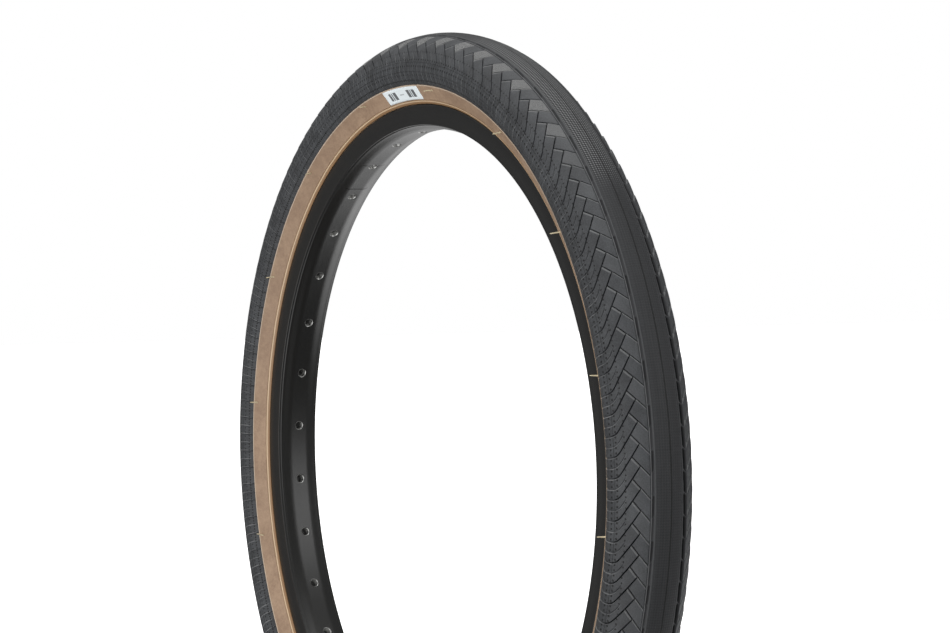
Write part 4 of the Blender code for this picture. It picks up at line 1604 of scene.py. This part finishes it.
@dataclass
class HiddenPieces:
    """Finishes for the CAD nodes that keep their own shape."""

    def build(self) -> None:
        """Dress each node."""
        brass = WorkedMetal("core_brass", (0.74, 0.54, 0.24), (0.62, 0.43, 0.17), 0.22)
        steel = WorkedMetal("spring_steel", (0.62, 0.62, 0.63), (0.45, 0.45, 0.46), 0.2)
        bead = WorkedMetal("bead_steel", (0.52, 0.40, 0.26), (0.38, 0.28, 0.18), 0.35)
        alloy = WorkedMetal("plain_alloy", (0.72, 0.72, 0.73), (0.58, 0.58, 0.60), 0.34)
        seal = PlainRubber("seal_rubber", (0.30, 0.030, 0.025), (0.20, 0.02, 0.018), 0.5)
        tube = PlainRubber("tube_rubber", (0.012, 0.012, 0.013), (0.045, 0.045, 0.047), 0.45, 600.0)
        band = PlainRubber("strip_rubber", (0.020, 0.020, 0.021), (0.035, 0.035, 0.036), 0.55, 400.0)
        wearers = {
            ClothPly(): ("casing",),
            bead: ("bead_wire_front", "bead_wire_rear"),
            tube: ("inner_tube", "valve_patch"),
            band: ("rim_strip",),
            alloy: ("rim_joint_sleeve",),
            brass: ("valve_core_barrel", "valve_core_pin"),
            steel: ("valve_core_spring",),
            seal: ("valve_core_gasket", "valve_core_cup_seal", "valve_cap_seal"),
        }
        for finish, names in wearers.items():
            material = finish.material()
            for name in names:
                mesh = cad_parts[name].data
                mesh.materials.clear()
                mesh.materials.append(material)
                LOG.info("%s: dressed in %s", name, material.name)


# ---------------------------------------------------------------- studio


class WorldBench(NodeBench):
    """Node maths over a world's own tree."""

    def __init__(self, tree: bpy.types.NodeTree) -> None:
        """Use the world's tree and keep one socket for the direction of a ray."""
        self.tree = tree
        self.direction = self.add("TexCoord").outputs["Generated"]


@dataclass(frozen=True)
class SoftPanel:
    """A round soft panel of light on the studio's walls."""

    toward: Triple
    core_deg: float
    edge_deg: float
    level: float

    def glow(self, bench: WorldBench) -> Wire:
        """Its light in a direction: level inside the core angle, none past the edge angle.

        Args:
            bench: The world's nodes.

        Returns:
            The light.
        """
        dot = bench.add("VectorMath")
        dot.operation = "DOT_PRODUCT"
        bench.link(bench.direction, dot.inputs[0])
        bench.link(Vector(self.toward).normalized(), dot.inputs[1])
        inside = bench.step(dot.outputs["Value"], math.cos(math.radians(self.edge_deg)),
                            math.cos(math.radians(self.core_deg)))
        return inside * self.level


@dataclass
class Studio:
    """Pale floor, soft light and the camera."""

    azimuth_deg: float = 61.9188
    elevation_deg: float = 2.7513
    distance: float = 1.94073
    swing_deg: float = -0.6064
    tilt_deg: float = 2.5075
    roll_deg: float = -1.2174
    focal_mm: float = 125.104547
    sensor_mm: float = 36.0
    floor_size: float = 60000.0
    floor_glow: float = 0.9
    room_level: float = 0.24
    panels: tuple[SoftPanel, ...] = (
        SoftPanel((0.82, 0.46, 0.28), 13.0, 27.0, 2.6),
        SoftPanel((-0.15, 0.76, -0.66), 18.0, 27.0, 1.6),
        SoftPanel((-0.66, 0.50, -0.56), 16.0, 34.0, 0.95),
        SoftPanel((0.20, -0.93, -0.30), 24.0, 50.0, 2.1),
        SoftPanel((-0.1, -0.15, 1.0), 25.0, 60.0, 1.0))

    def camera(self) -> None:
        """Place the camera by azimuth and elevation, then turn it about its own axes."""
        a, e = math.radians(self.azimuth_deg), math.radians(self.elevation_deg)
        back = Vector((math.sin(a) * math.cos(e), -math.cos(a) * math.cos(e), math.sin(e)))
        right = Vector((math.cos(a), math.sin(a), 0.0))
        up = back.cross(right)
        axes = Matrix((right, up, back)).transposed()
        swing = Matrix.Rotation(math.radians(self.swing_deg), 3, "Y")
        tilt = Matrix.Rotation(math.radians(self.tilt_deg), 3, "X")
        roll = Matrix.Rotation(math.radians(self.roll_deg), 3, "Z")
        data = bpy.data.cameras.new("camera")
        data.sensor_fit = "HORIZONTAL"
        data.sensor_width = self.sensor_mm
        data.lens = self.focal_mm
        data.clip_end = 50.0
        camera = bpy.data.objects.new("camera", data)
        turned = (axes @ swing @ tilt @ roll).to_4x4()
        camera.matrix_world = Matrix.Translation(back * self.distance) @ turned
        bpy.context.scene.collection.objects.link(camera)
        bpy.context.scene.camera = camera

    def lamp(self, name: str, place: Triple, size: float, watts: float) -> None:
        """One square soft light aimed at the wheel centre.

        Args:
            name: Its name.
            place: Where it stands, in metres.
            size: Its side, in metres.
            watts: Its power.
        """
        data = bpy.data.lights.new(name, "AREA")
        data.size = size
        data.energy = watts
        lamp = bpy.data.objects.new(name, data)
        lamp.location = place
        lamp.rotation_euler = Vector(place).to_track_quat("Z", "Y").to_euler()
        bpy.context.scene.collection.objects.link(lamp)

    def floor(self) -> None:
        """A pale floor that the tyre stands on."""
        half = 0.5 * self.floor_size
        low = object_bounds()[0][2] / MM - 1.0
        corners = np.array([[-half, -half, low], [half, -half, low], [half, half, low], [-half, half, low]])
        bench = NodeBench("pale_floor")
        haze = bench.noise(3.0, 2.0)
        bench.set(Base_Color=bench.mix(haze, (0.90, 0.90, 0.90), (0.93, 0.93, 0.93)), Roughness=0.9,
                  Emission_Color=(1.0, 1.0, 1.0), Emission_Strength=self.floor_glow)
        floor = mesh_object("floor", corners, np.array([[0, 1, 2, 3]]), bench.material)
        floor.visible_diffuse = False
        floor.visible_glossy = False
        floor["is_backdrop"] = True

    def sky(self) -> bpy.types.World:
        """A dim room with soft panels in it, seen as plain white by the camera.

        Returns:
            The new world.
        """
        world = bpy.data.worlds.new("studio")
        world.use_nodes = True
        bench = WorldBench(world.node_tree)
        level: Value = self.room_level
        for panel in self.panels:
            level = level + panel.glow(bench)
        seen = Wire(bench, bench.add("LightPath").outputs["Is Camera Ray"])
        background = bench.tree.nodes["Background"]
        bench.link(level * (1.0 - seen) + seen, background.inputs["Strength"])
        bench.link((1.0, 1.0, 1.0), background.inputs["Color"])
        return world

    def build(self) -> None:
        """Build the studio."""
        scene = bpy.context.scene
        scene.world = self.sky()
        scene.view_settings.view_transform = "Standard"
        self.camera()
        self.floor()
        self.lamp("overhead", (0.1, -0.6, 2.2), 0.8, 16.0)


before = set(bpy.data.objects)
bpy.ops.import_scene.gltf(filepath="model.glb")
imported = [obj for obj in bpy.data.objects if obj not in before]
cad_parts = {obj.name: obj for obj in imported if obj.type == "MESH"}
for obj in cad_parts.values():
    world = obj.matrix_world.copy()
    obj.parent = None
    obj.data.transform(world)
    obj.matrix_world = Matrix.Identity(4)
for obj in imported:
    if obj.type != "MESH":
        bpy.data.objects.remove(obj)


def main() -> None:
    """Build the scene in order."""
    logging.basicConfig(level=logging.INFO, format="%(message)s")
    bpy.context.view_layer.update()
    skin = TyreSkin()
    Tread(skin).build()
    SideRings(skin).build()
    SidewallPatch(skin).build()
    VentWhiskers(skin).build()
    Rim().build()
    Valve().build()
    HiddenPieces().build()
    Studio().build()


if __name__ == "__main__":
    main()
